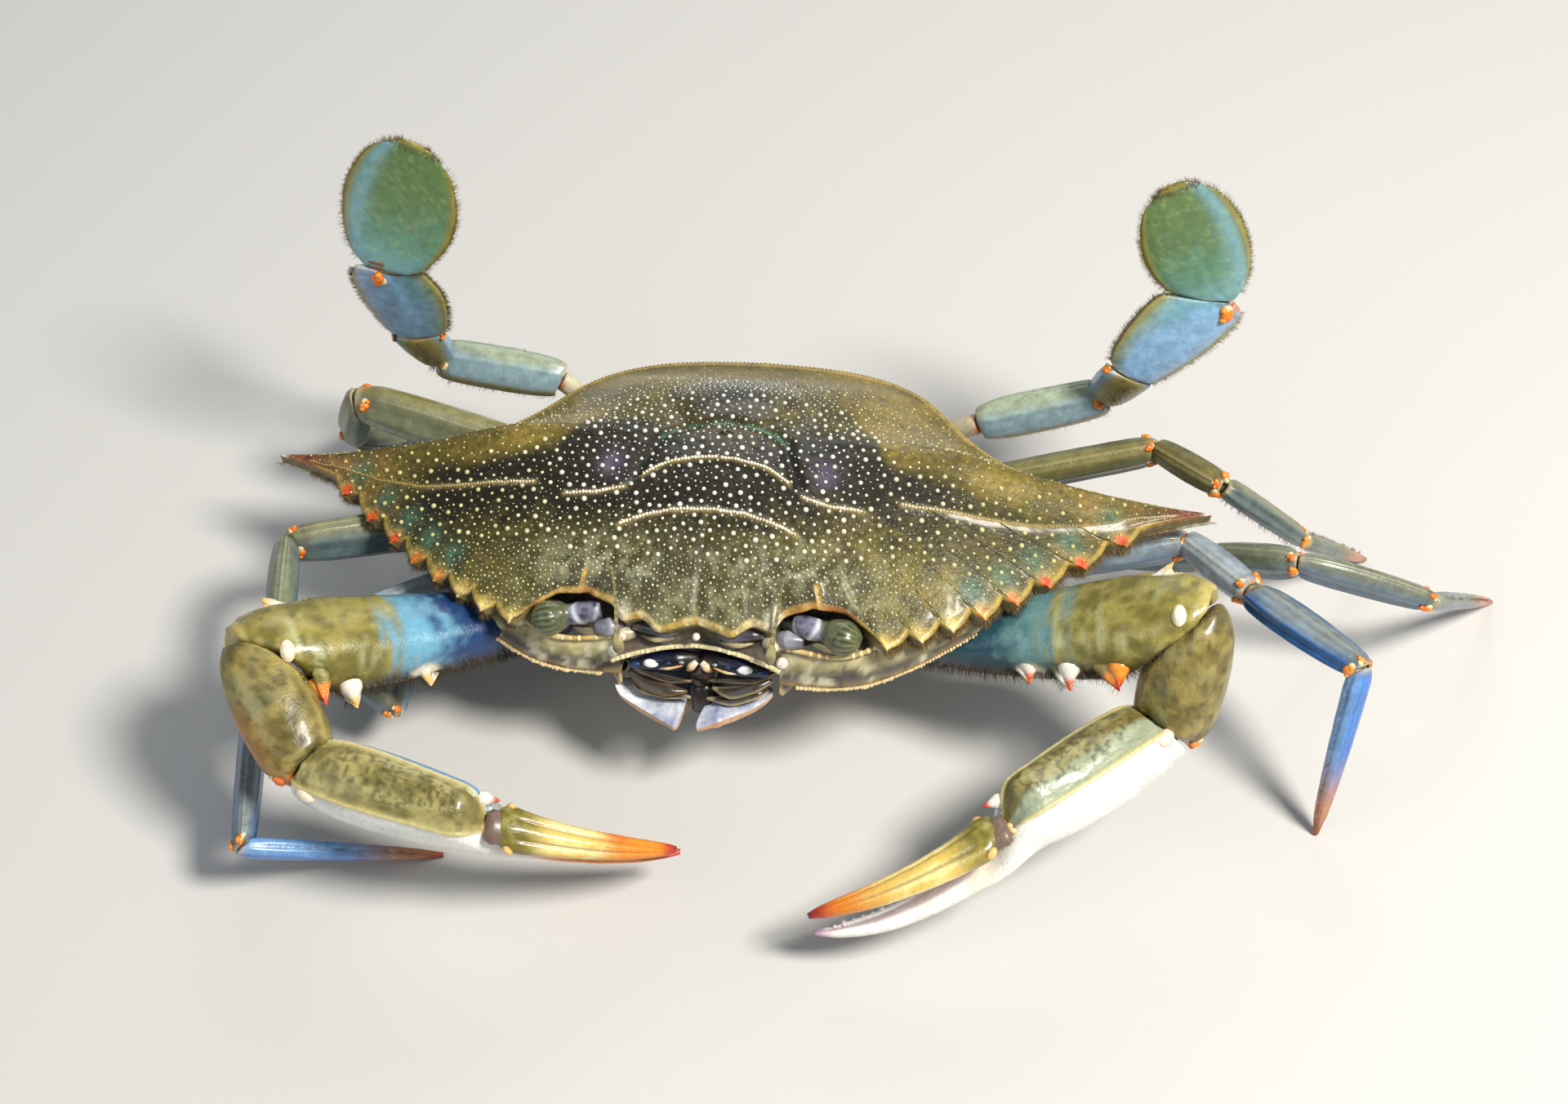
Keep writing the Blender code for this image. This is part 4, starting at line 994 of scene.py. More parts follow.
def oval_knob(place, normal, along, size, top=(250, 236, 206), foot=(214, 110, 30)):
    """A smooth pale condyle, longer than wide, orange at its foot."""
    profile = ((1.25, -0.3), (1.2, 0.05 * size), (0.98, 0.24 * size), (0.9, 0.44 * size), (0.68, 0.64 * size),
               (0.38, 0.76 * size), (0.0, 0.8 * size))
    CONDYLES.turned(place, normal, size, profile, 16, top, foot, along=along, stretch=1.5)


def bellows(a, b, share=0.78, pale=(150, 132, 96), dark=(84, 70, 58)):
    """The soft folded skin of the joint between two segments."""
    axis = unit(a.axis + b.axis)
    near = a.t > 0.86
    up = unit(a.up - (a.up @ axis) * axis)
    ring = ring_of(FOLD_SIDES, up * (a.half_u[near].mean() * share),
                   np.cross(axis, up) * (a.half_v[near].mean() * share))
    stations = np.linspace(-1.5, 1.5, 13)
    rows = [b.joint + axis * s + ring * (0.93 + 0.07 * math.cos(s * 7) - 0.10 * (s / 1.5) ** 2)
            for s in stations]
    tint = mix(pale, dark, 0.5 + 0.5 * np.cos(np.repeat(stations, FOLD_SIDES) * 7))
    MEMBRANES.add(np.vstack(rows), tube_faces(len(rows), FOLD_SIDES), tint)


def leg_tint(part, look):
    """Upper edge, face and lower edge in their own colours, with cream and orange at the joints."""
    top, face, low = look
    big, small = noise(part.points, 5, 41, 2), noise(part.points, 1.6, 42, 2)
    u = part.u + 0.16 * big
    tint = mix(mix(low, face, step(-0.95, -0.35, u)), top, step(0.35, 0.95, u))
    return coats(
        tint * (0.92 + 0.22 * small + 0.16 * big)[:, None],
        ((84, 78, 44), 0.32 * step(0.1, 0.7, big) * step(-0.4, 0.6, u)),
        (CREAM * 0.8, 0.6 * np.maximum(1 - step(0.0, 0.05, part.t), step(0.965, 0.995, part.t))),
        ((96, 78, 50), 0.45 * bump(part.t - 0.93, 0.02)),
        ((214, 120, 48), 0.8 * step(0.95, 0.985, part.t) * step(0.0, 0.35, small + 0.4 * big)))


def hairs_along(part, middle, low, high, count, length, tint=BROWN, spread=9.0, lean=0.5, width=0.07):
    """A row of setae at an angle of the section, leaning towards the segment's end."""
    for _ in range(count):
        t, angle = RNG.uniform(low, high), middle + RNG.normal(0, spread)
        place, normal = part.at(t, angle)
        way = unit(normal + part.axis * RNG.normal(lean, 0.2) + RNG.normal(0, 0.12, 3))
        size = length * RNG.uniform(0.6, 1.15)
        shade = tint * RNG.uniform(0.7, 1.3)
        FRINGE.hair(place - way * 0.1, way, size, width, shade, atlas(part.node, t, angle / 360), 0.12)


def bead_line(part, angle, low, high, gap, size, tint):
    """A row of beads along a part at an angle of its section."""
    for t in np.arange(low, high, gap / part.length):
        place, normal = part.at(t, angle + RNG.normal(0, 2.0))
        radius = size * RNG.uniform(0.8, 1.15)
        BEADS.dome(place, normal, radius, tint * RNG.uniform(0.85, 1.1), tint * 0.5, 0.8, 7)


def parts_of(leg, side):
    """The five segments of a limb, from the body outwards."""
    names = [f"{leg}_{segment}_{side}" for segment in SEGMENTS[leg]]
    made = []
    for name, segment, before, after in zip(names, SEGMENTS[leg], ["sternum"] + names, names[1:] + [None]):
        upward = (0, 0, 1)
        if leg == "leg5" and segment in ("propodus", "paddle"):
            upward = (-SIGN[side], 0, 0)
        if segment in ("palm", "finger"):
            upward = PALM_UP[side]
        foot = made[3].joint if segment == "finger" else None
        made.append(Part(name, before, after, LEVELS.get(segment, 3), upward,
                         own_up=leg != "cheliped", own_axis=segment != "palm", foot=foot))
    return made


def coxa_skin(part):
    small = noise(part.points, 1.8, 51, 3)
    tint = mix((206, 198, 166), (150, 116, 66), step(0.0, 0.6, small))
    tint = mix(tint, ORANGE, 0.7 * step(0.90, 0.98, part.t) * step(-0.1, 0.3, small))
    part.finish("pale", tint, 0.12 * small)


def walking_leg(leg, side):
    made = parts_of(leg, side)
    coxa_skin(made[0])
    for part, segment in zip(made[1:], SEGMENTS[leg][1:]):
        tint = leg_tint(part, LOOKS[leg, segment])
        lift = 0.05 * noise(part.points, 1.4, 43, 2)
        if segment == "dactyl":
            lift += ridge_lift(part, (45, -45, 135, -135), 0.12, 0.2)
            lift -= ridge_lift(part, (0, 90, 180, -90), 0.12, 0.2)
            tint = mix(tint, (190, 132, 92), step(0.45, 0.85, part.t))
            tint = mix(tint, (150, 74, 34), step(0.86, 0.97, part.t))
        else:
            lift += ridge_lift(part, (62, -62, 118, -118), 0.16, 0.12) + ridge_lift(part, (0,), 0.28, 0.10)
            lift -= ridge_lift(part, (90, -90), 0.18, 0.2)
            tint = mix(tint, CREAM, 0.25 * bump(part.angle, 0.08))
        if segment == "merus":
            bead_line(part, 4, 0.06, 0.94, 0.8, 0.15, rgb(214, 206, 166))
        for row in HAIR_ROWS.get(segment, ()):
            hairs_along(part, *row)
        part.finish("leg", tint, lift)
        if segment != "dactyl":
            for t, angle, size in ((0.945, 88, 0.85), (0.945, -88, 0.85), (0.96, 8, 0.6)):
                knob(*part.at(t, angle), size)
    for a, b in zip(made, made[1:]):
        bellows(a, b)


def paddle_skin(part, small):
    """The last segment, an oval blade: teal at its foot, green on its face, golden along its rim."""
    rim = np.maximum(np.abs(part.u), step(0.80, 1.02, part.t))
    vein = 1 - step(0.02, 0.10, np.abs(noise(part.points, 1.6, 62, 2)))
    inner_edge = step(-0.95, -0.6, -np.abs(part.u + 0.80)) * bump(part.u + 0.72, 0.2)
    tint = coats(
        mix((96, 146, 120), (92, 122, 66), step(0.15, 0.75, part.t + 0.2 * small)),
        ((128, 182, 192), 0.75 * (1 - step(0.0, 0.34, part.t))),
        ((128, 176, 190), 0.7 * inner_edge),
        ((150, 170, 120), 0.35 * vein),
        ((146, 134, 56), 0.9 * step(0.80, 0.96, rim)))
    lift = 0.05 * small - 0.10 * bump(part.u, 0.06) * (1 - step(0.7, 0.9, part.t))
    part.finish("paddle", tint, lift + 0.12 * bump(rim - 0.93, 0.05) - 0.04 * vein)


def flat_segment_skin(part, segment, small):
    """Merus, carpus and propodus of a swimming leg."""
    tint = leg_tint(part, LOOKS["leg5", segment])
    lift = 0.05 * small
    if segment == "propodus":
        tint = coats(tint, ((152, 140, 66), 0.85 * step(0.78, 0.94, np.abs(part.u))),
                     ((96, 152, 150), 0.6 * bump(part.u - 0.45, 0.3) * step(0.35, 0.7, part.t)))
        lift += 0.12 * bump(part.u + 0.1, 0.12) - 0.10 * bump(part.u - 0.25, 0.12)
    elif segment == "merus":
        tint = mix(tint, (150, 136, 66), 0.8 * (1 - step(-0.75, -0.45, part.u)))
        lift += ridge_lift(part, (0, 60, -60), 0.2, 0.12)
    else:
        tint = coats(tint, (WHITE, 0.5 * part.near(part.start + part.axis * 4, 1.2)),
                     ((150, 140, 74), 0.7 * step(0.6, 0.9, np.abs(part.u))))
    part.finish("leg", tint, lift)


def paddle_end_hairs(part):
    """Setae round the paddle's end, pointing away from its middle."""
    for _ in range(420):
        t, angle = RNG.uniform(0.93, 0.995), RNG.uniform(0, 360)
        place, _ = part.at(t, angle)
        out = unit(place - (part.start + part.axis * part.length * 0.5))
        FRINGE.hair(place - out * 0.1, out + RNG.normal(0, 0.1, 3), RNG.uniform(0.7, 1.4), 0.06,
                    FRINGE_TINT * RNG.uniform(0.7, 1.3), atlas(part.node, t, angle / 360), 0.1)


def swimming_leg(side):
    made = parts_of("leg5", side)
    coxa_skin(made[0])
    for part, segment in zip(made[1:], SEGMENTS["leg5"][1:]):
        small = noise(part.points, 1.5, 61, 2)
        if segment == "paddle":
            paddle_skin(part, small)
        else:
            flat_segment_skin(part, segment, small)
        if segment in ("propodus", "paddle"):
            for angle in (0, 180):
                hairs_along(part, angle, 0.02, 0.97, 520, 1.25, FRINGE_TINT, 3.0, 0.4, 0.06)
        else:
            hairs_along(part, 180, 0.06, 0.97, 160, 1.3)
            hairs_along(part, 20, 0.3, 0.97, 50, 0.7)
        if segment == "paddle":
            paddle_end_hairs(part)
    for n, t, angle, size in ((1, 0.92, 92, 1.1), (1, 0.92, -92, 1.1), (2, 0.92, 92, 0.8),
                              (2, 0.92, -92, 0.8), (3, 0.90, 242, 1.15), (3, 0.90, 118, 1.15)):
        knob(*made[n].at(t, angle), size)
    for a, b in zip(made, made[1:]):
        bellows(a, b, 0.7)


# ---------------------------------------------------------------- claws
def front_sign(part):
    """1 where the part's side axis points to the crab's front, otherwise -1: both claws are painted alike."""
    return 1 if part.side[1] < 0 else -1


def outward(part):
    """Angle round the section, positive on the crab's front side."""
    return np.degrees(part.angle) * front_sign(part)


def claw_grain(part, seed):
    return noise(part.points, 4.5, seed, 2), noise(part.points, 1.4, seed + 1, 2)


def merus_spines(part, side, tint):
    """Spines along the front edge, and the tint with their own colours round their feet."""
    tips = sorted(part.spine_tips(), key=lambda p: (p - part.start) @ part.axis)
    for n, tip in enumerate(tips):
        around = np.linalg.norm(part.points - tip, axis=1)
        if n == 2:
            shade = mix((236, 140, 44), (206, 50, 24), step(1.6, 0.3, around))
        else:
            shade = mix((238, 196, 110), WHITE, bump(around - 2.2, 1.2))
            shade = mix(shade, (226, 92, 30), step(1.3, 0.2, around) * (side == "L" and n < 2))
        tint = mix(tint, shade, 1 - step(2.6, 3.6, around))
        foot = part.start + part.axis * ((tip - part.start) @ part.axis)
        way = unit(tip - foot)
        body, point = ((240, 150, 52), (206, 50, 24)) if n == 2 else (WHITE, shade[around.argmin()])
        SPINES.spine(tip - way * 3.5, way, 1.45, 3.7, body, point)
    return tint


def merus_skin(part, side):
    """Olive with pale wrinkles, blue nearer the body, painted shade at its foot and on the left one's blue, a
    hairy front edge and its spines white or orange.
    """
    big, small = claw_grain(part, 71)
    angle, sign = outward(part), front_sign(part)
    upward = part.normals[:, 2]
    t = part.t + 0.05 * big
    # The left merus's blue and deep blue are teal and duller: painted shade of the carapace over it
    light, deep = ((108, 176, 206), (4, 46, 104)) if side == "R" else ((96, 146, 150), (22, 66, 84))
    across = np.stack([part.t * part.length * 2.2, part.v * 2.0, part.u * 2.0], axis=1)
    wrinkle = noise(across, 1.7, 73, 2)
    pale = step(0.1, 0.45, wrinkle) * step(0.45, 0.6, t) * step(-0.3, 0.3, upward)
    tint = coats(
        mix((116, 108, 44), (164, 152, 78), step(-0.4, 0.5, small + 0.5 * big)),
        ((202, 206, 158), 0.6 * pale * (1 - step(0.86, 0.92, t)) * bump(angle - 25, 42)),
        (light, 0.9 * (1 - step(0.50, 0.62, t + 0.10 * wrinkle))),
        (deep, 0.95 * (1 - step(0.36, 0.50, t + 0.08 * small))),
        # painted shade: dark blue-grey at the merus's foot, where it runs under the carapace
        ((40, 46, 52), 0.7 * (1 - step(0.05, 0.25, t))),
        ((178, 190, 186), 0.85 * (1 - step(-0.65, -0.25, upward + 0.1 * big))),
        ((62, 46, 26), 0.75 * bump(angle - 112, 22) * step(0.1, 0.3, t)),
        ((214, 200, 112), 0.8 * bump(angle + 62, 5) * step(0.35, 0.6, t)),
        ((206, 186, 110), 0.7 * step(0.965, 0.985, part.t)))
    lift = 0.10 * small * step(-0.2, 0.4, upward) + 0.20 * np.clip(wrinkle, -0.4, 0.5) * step(0.35, 0.55, t)
    lift += 0.30 * bump(angle + 62, 7) * step(0.1, 0.3, part.t)
    part.finish("claw", merus_spines(part, side, tint), lift)
    bead_line(part, -62 * sign, 0.25, 0.96, 0.8, 0.18, rgb(214, 200, 130))
    hairs_along(part, 118 * sign, 0.12, 0.97, 1400, 1.5, rgb(74, 56, 32), 13.0, 0.25)
    place, normal = part.at(0.925 if side == "L" else 0.89, 62 * sign)
    oval_knob(place, normal, np.cross(normal, part.axis), 0.92)


def carpus_skin(part, side):
    big, small = claw_grain(part, 81)
    upward = part.normals[:, 2]
    angle, sign = outward(part), front_sign(part)
    pits = step(0.35, 0.6, noise(part.points, 0.9, 83))
    inner = bump(angle + 96, 34) if side == "L" else bump(angle - 84, 30)
    tint = coats(
        mix((106, 94, 40), (158, 142, 76), step(-0.5, 0.5, small + 0.7 * big)),
        ((112, 124, 96), 0.5 * step(0.0, 0.6, big)),
        ((52, 46, 22), 0.5 * pits),
        ((176, 184, 176), 0.75 * (1 - step(-0.8, -0.5, upward))),
        ((176, 112, 36), 0.75 * inner * step(0.2, 0.6, part.t)),
        ((206, 120, 44), 0.85 * step(0.93, 0.97, part.t)),
        ((96, 90, 66), 0.6 * (1 - step(0.02, 0.12, part.t))),
        ((196, 176, 96), 0.5 * bump(angle + 40, 4)))
    lift = 0.10 * small + 0.10 * big - 0.06 * pits + 0.25 * bump(angle + 40, 8) + 0.2 * bump(angle - 75, 8)
    part.finish("claw", tint, lift)
    bead_line(part, -40 * sign, 0.15, 0.9, 0.9, 0.16, rgb(196, 182, 110))
    for place in (-85, 80):
        knob(*part.at(0.93, place * sign), 1.0)


class Palm:
    """The palm's own frame, from the wrist to the movable finger's hinge, and its fixed finger's."""

    def __init__(self, part, finger):
        self.part, self.hinge = part, finger.start
        self.axis, self.length, self.t, self.up, self.across, rest = self.frame_to(part.start, self.hinge)
        self.sign = 1 if self.across[1] < 0 else -1
        self.height, self.aside = rest @ self.up, rest @ self.across * self.sign
        self.middle = np.median(self.height[self.t < 0.95])
        self.angle = np.degrees(np.arctan2(self.aside / PALM_HALF[0],
                                           (self.height - self.middle) / PALM_HALF[1]))
        tip = part.points[((part.points - part.start) @ part.axis).argmax()]
        self.jaw_axis, self.reach, self.s, self.jaw_up, side, rest = self.frame_to(self.hinge, tip)
        self.jaw_angle = np.arctan2(rest @ side, rest @ self.jaw_up)

    def frame_to(self, start, end):
        """Axis, length, shares along it, directions up and across, and the points' places off the axis."""
        axis, length = unit(end - start), np.linalg.norm(end - start)
        away = self.part.points - start
        up = unit(self.part.up - (self.part.up @ axis) * axis)
        return axis, length, away @ axis / length, up, np.cross(axis, up), away - np.outer(away @ axis, axis)

    def surface(self, share, degrees):
        """Place on the palm at a share of its length and an angle round it, and the normal there."""
        turn = math.radians(degrees)
        way = unit(self.up * math.cos(turn) * PALM_HALF[1]
                   + self.across * self.sign * math.sin(turn) * PALM_HALF[0])
        centre = self.part.start + self.axis * share * self.length + self.up * self.middle
        hit, normal, _, _ = self.part.tree_of().ray_cast(Vector(centre + way * 30), Vector(-way))
        return (centre, way) if hit is None else (np.array(hit), np.array(normal))


def fixed_finger_tint(palm, side, big):
    """White, orange to red on the right claw, tipped with mauve on the left, dark along the teeth."""
    s = palm.s
    jaw = mix((248, 246, 240), (236, 226, 206), step(-0.2, 0.6, big))
    if side == "R":
        jaw = mix(mix(jaw, (232, 140, 44), step(0.12, 0.45, s)), (206, 66, 34), step(0.80, 0.95, s))
    else:
        jaw = mix(jaw, (186, 150, 178), step(0.90, 0.99, s))
    toothed = step(0.93, 0.99, palm.part.normals @ palm.jaw_up) * step(0.1, 0.25, s)
    return mix(jaw, (120, 66, 76), 0.6 * toothed)


def palm_skin(palm, side):
    """Palm and fixed finger: an olive panel between two beaded ridges, white outside and below."""
    big, small = claw_grain(palm.part, 91)
    t, angle = palm.t, palm.angle
    ring = np.sqrt(np.maximum(0, (t - 0.5) ** 2 / 0.16 + ((angle + 6) / 44) ** 2))
    panel = step(-48, -42, angle) * (1 - step(44, 50, angle)) * (1 - step(0.93, 0.97, t))
    place = np.stack([t * palm.length * 1.3, palm.aside * 0.8, palm.height * 0.8], axis=1)
    net = 1 - step(0.03, 0.16, np.abs(noise(place, 1.3, 93, 2)))
    olive = mix((118, 110, 58), (170, 160, 98), step(-0.5, 0.5, small + 0.24 * np.cos(ring * 9)))
    if side == "L":
        olive = mix(olive, (164, 178, 152), 0.75 * step(2, 18, angle))
    olive = mix(olive, (56, 54, 26), 0.65 * net * (1 - step(0.75, 1.0, ring)))
    body = 1 - step(0.93, 1.0, t)
    ridges = np.maximum(bump(angle + 45, 3.6), bump(angle - 47, 3.6)) * (1 - step(0.92, 0.98, t))
    fixed = step(0.99, 1.06, t)
    tint = coats(
        mix((246, 246, 238), (222, 226, 224), step(-0.2, 0.6, big)),
        (olive, panel),
        ((90, 158, 208), 0.9 * bump(angle + 59, 10) * body),
        ((120, 136, 120), 0.7 * (1 - step(-92, -74, angle)) * body),
        ((214, 198, 128), 0.85 * ridges),
        ((196, 166, 92), 0.7 * bump(t - 0.95, 0.018) * (angle > -70) * (angle < 60)),
        (fixed_finger_tint(palm, side, big), fixed))
    lift = 0.40 * ridges - 0.18 * panel * bump(np.minimum(np.abs(angle + 42), np.abs(angle - 28)), 9)
    lift += 0.07 * small + 0.10 * panel * np.cos(ring * 9) * step(0.2, 0.8, ring) - 0.08 * panel * net
    lift += fixed * (0.16 * np.cos(palm.jaw_angle * 6) * (1 - step(0.85, 1.0, palm.s)) - 0.05)
    palm.part.finish("claw", tint, lift)


def palm_details(palm):
    """The ridges' beads, the condyles at both ends of the palm and the spine over the hinge."""
    for degrees, low, high in ((-45, 0.08, 0.92), (47, 0.08, 0.90)):
        for share in np.arange(low, high, 0.75 / palm.length):
            place, normal = palm.surface(share, degrees)
            BEADS.dome(place, normal, 0.20 * RNG.uniform(0.85, 1.1), (228, 214, 150), CREAM * 0.5, 0.8, 7)
    oval_knob(*palm.surface(0.07, 56), palm.axis, 1.0)
    for degrees in (-50, 44):
        oval_knob(*palm.surface(0.945, degrees), palm.across, 0.62, (246, 214, 150), (206, 96, 30))
    place, normal = palm.surface(0.89, -60)
    SPINES.spine(place, normal * 0.5 + palm.axis, 0.95, 3.0, WHITE, (206, 60, 30))


def finger_skin(part, side):
    big, small = claw_grain(part, 101)
    angle = outward(part)
    t = part.t + 0.05 * big
    base = mix((112, 104, 38), (156, 144, 62), step(-0.4, 0.5, small))
    cream = mix((244, 226, 150), (232, 196, 96), step(-0.3, 0.5, small + 0.5 * np.cos(np.radians(angle) * 5)))
    orange = mix((232, 140, 34), (226, 110, 26), step(-0.3, 0.5, big))
    starts = (0.14, 0.30, 0.44, 0.66) if side == "R" else (0.12, 0.30, 0.52, 0.80)
    edge = np.maximum(bump(angle + 84, 16), 0.8 * bump(np.abs(angle) - 170, 22))
    furrow = np.maximum(bump(angle - 30, 6), bump(angle + 22, 6)) * step(0.05, 0.15, part.t)
    furrow *= 1 - step(0.8, 0.95, part.t)
    tint = coats(
        base,
        (cream, step(starts[0], starts[1], t)),
        (orange, step(starts[2], starts[3], t)),
        ((202, 64, 28), 0.75 * edge * step(0.25, 0.5, t)),
        ((176, 44, 30), step(0.86, 0.97, part.t)),
        ((120, 44, 60), step(0.965, 0.995, part.t)),
        ((84, 48, 60), 0.75 * step(0.55, 0.9, -part.u) * step(0.08, 0.2, t)),
        ((118, 92, 34), 0.65 * furrow * (1 - step(0.5, 0.85, t))))
    lift = 0.06 * small - 0.30 * furrow + 0.12 * bump(angle - 4, 12) * (1 - step(0.8, 1.0, part.t))
    part.finish("claw", tint, lift)


def claw_tooth(place, way, size):
    """A blunt tooth, longer along the finger than across it."""
    profile = ((1.0, -0.5 * size), (1.0, 0.15 * size), (0.72, 0.6 * size), (0.34, 0.92 * size), (0.0, size))
    TEETH_BITS.turned(place, way, size, profile, 9, (226, 214, 214), (120, 74, 92), stretch=0.75)


def claw_teeth(palm, finger):
    """Teeth in a row along the inner edges of both fingers, a larger one at every fourth place."""
    low, high = 0.12, 0.90
    for n, t in enumerate(np.linspace(low, high, 17)):
        place, _ = finger.at(t, 180)
        claw_tooth(place, unit(0.15 * finger.axis - finger.up),
                   (0.85 if n % 4 == 1 else 0.55) * (1.15 - 0.5 * (t - low) / (high - low)))
    up = palm.jaw_up
    for n, s in enumerate(np.linspace(0.16, 0.90, 17)):
        above = palm.hinge + palm.jaw_axis * palm.reach * s + up * 1.5
        hit, _, _, _ = palm.part.tree_of().ray_cast(Vector(above), Vector(-up))
        if hit is not None and (np.array(hit) - palm.hinge) @ up < 1.0:
            size = (0.85 if n % 4 == 3 else 0.55) * (1.15 - 0.5 * s)
            claw_tooth(np.array(hit), up + 0.15 * palm.jaw_axis, size)


def finger_bellows(finger):
    """Soft skin behind the movable finger's foot."""
    near = finger.t < 0.12
    ring = ring_of(FOLD_SIDES, finger.up * (finger.half_u[near].mean() * 0.8),
                   finger.side * (finger.half_v[near].mean() * 0.8))
    rows = [finger.start + finger.axis * s + ring * k
            for s, k in ((-1.8, 0.8), (-0.9, 1.0), (0, 0.94), (0.8, 1.0), (1.6, 0.8))]
    MEMBRANES.add(np.vstack(rows), tube_faces(len(rows), FOLD_SIDES), (120, 100, 84))


def cheliped(side):
    coxa, merus, carpus, palm_part, finger = parts_of("cheliped", side)
    palm = Palm(palm_part, finger)
    coxa_skin(coxa)
    merus_skin(merus, side)
    carpus_skin(carpus, side)
    palm_skin(palm, side)
    palm_details(palm)
    finger_skin(finger, side)
    claw_teeth(palm, finger)
    for angle in (82, -82):
        place, normal = finger.at(0.06, angle * front_sign(finger))
        oval_knob(place, normal, finger.side, 0.55, (244, 196, 120), (214, 92, 28))
    bellows(coxa, merus, 0.72)
    bellows(merus, carpus, 0.8, (140, 132, 152), (74, 64, 84))
    bellows(carpus, palm_part, 0.72)
    finger_bellows(finger)


for SIDE in SIGN:
    cheliped(SIDE)
    for LEG in WALKING:
        walking_leg(LEG, SIDE)
    swimming_leg(SIDE)
CONDYLES.piece("joint_condyles", "granule", "leg_shell")
MEMBRANES.piece("joint_membranes", "membrane", "leg_shell")
SPINES.piece("claw_spines", "granule", "claw_shell")
TEETH_BITS.piece("claw_teeth", "granule", "claw_shell")
BEADS.piece("limb_beads", "granule", "leg_shell")


# ---------------------------------------------------------------- head
MOUTH = Bits()
LEAF_STEPS = 9
ANTENNA_SLIMMING = 0.16
EYE_OUT = {"L": 0.0, "R": 1.0}     # how much further out each eye is held
EYE_START, EYE_LENGTH = 14.2, 10.4      # the stalk's distance from the midline, and the eye's reach
CORNEA_HALF = (2.55, 2.66, 2.72)        # half axes along the eye, upwards and forwards
RIBS = 17
FELT_HAIRS = 5200                       # on each side
# Tubes of the left half: body-frame points, radii and colours at them, and sides where they aren't 10
ANTENNULE_TUBES = (
    (((2.6, 31.2, -1.0), (5.0, 31.9, -0.9), (8.2, 31.4, -0.8), (10.0, 31.2, -1.1)),
     (0.5, 1.0, 0.9, 0.4), ((60, 54, 62), (98, 94, 112), (52, 48, 58), (120, 112, 104))),
    (((3.4, 32.2, -1.8), (6.2, 32.9, -1.7), (8.6, 32.0, -1.9)),
     (0.3, 0.42, 0.25), ((90, 74, 54), (186, 168, 128), (96, 78, 56))),
    (((10.0, 30.8, -2.6), (11.8, 31.4, -2.4), (13.6, 31.0, -2.0)),
     (1.1, 1.3, 0.7), ((150, 140, 118), (212, 202, 168), (110, 104, 104))))
# A bulge at the orbit's inner corner, and the orbit's lower rim, cream and unevenly toothed
ORBIT_TUBES = (
    (((11.6, 30.6, -1.5), (13.6, 31.3, -1.3), (16.0, 31.2, -1.6)),
     (0.8, 1.5, 1.0), ((96, 88, 92), (166, 166, 178), (78, 76, 90)), 14),
    (((12.6, 31.4, -3.0), (15.2, 31.9, -3.0), (18.4, 32.3, -3.2), (21.6, 32.3, -3.2), (24.6, 31.7, -2.7),
      (27.2, 30.6, -1.9)),
     (0.3, 0.42, 0.36, 0.46, 0.4, 0.3),
     (CREAM * 0.8, (226, 206, 140), (196, 150, 84), (232, 214, 150), (206, 160, 90), CREAM * 0.7)))
# Mandible, its palp, and a thin band across it
MANDIBLE_TUBES = (
    (((0.5, 31.4, -6.6), (3.6, 32.4, -6.2), (7.0, 33.0, -6.4), (10.6, 33.0, -7.4)),
     (0.8, 1.7, 1.5, 0.7), ((60, 52, 46), (8, 12, 22), (14, 26, 54), (34, 34, 42)), 12),
    (((0.4, 32.9, -5.9), (1.2, 33.3, -6.6), (1.8, 33.0, -7.6)),
     (0.45, 0.7, 0.4), ((246, 238, 220), (222, 190, 140), (150, 96, 60))),
    (((2.4, 33.9, -5.9), (4.4, 34.5, -6.1), (6.2, 34.2, -6.6)),
     (0.14, 0.24, 0.14), ((214, 140, 60), (228, 208, 150), (90, 120, 170))))
# Painted highlights on the left mandible, white and blue glints built as low knobs: body-frame point, radius
# and colour
MANDIBLE_GLINTS = ((7.2, 34.2, -5.7, 0.7, (250, 250, 246)), (4.6, 34.0, -5.6, 0.3, (30, 62, 116)),
                  (9.8, 33.9, -6.5, 0.5, (28, 58, 104)), (2.6, 33.7, -5.6, 0.26, (150, 160, 176)))
# A dark plug behind the outer mouthparts, painted shade that fills the gap between them
MOUTH_SHADE_PLUG = (
    ((0.0, 31.0, -6.6), (0.4, 32.4, -8.6), (-0.3, 32.2, -10.6), (0.3, 33.0, -12.8), (0.0, 33.4, -15.4)),
    (1.0, 2.0, 1.7, 2.2, 1.8), ((20, 17, 17), (46, 32, 24), (16, 14, 14), (40, 30, 26), (14, 12, 12)), 14)
WALL_UPPER = ((12.4, 31.2, -3.2), (16.5, 31.5, -3.4), (21.0, 31.7, -3.5), (25.5, 30.9, -2.9),
              (31.0, 28.6, -2.9), (38.0, 24.6, -2.8), (46.0, 18.6, -2.5), (55.0, 10.6, -2.2))
WALL_LOWER = ((12.2, 31.4, -10.6), (16.0, 32.0, -10.0), (21.0, 32.0, -9.6), (26.5, 30.8, -9.2),
              (32.5, 27.6, -8.0), (39.0, 22.4, -6.6), (46.0, 15.6, -5.2), (54.0, 8.6, -3.8))
# Seams of the abdomen on the midline, and how much they bow back towards its sides
ABDOMEN_SEAMS = ((2.4, 0.012), (-4.0, 0.010), (-10.5, 0.008), (-16.6, 0.006), (-22.0, 0.0), (-26.2, 0.0))


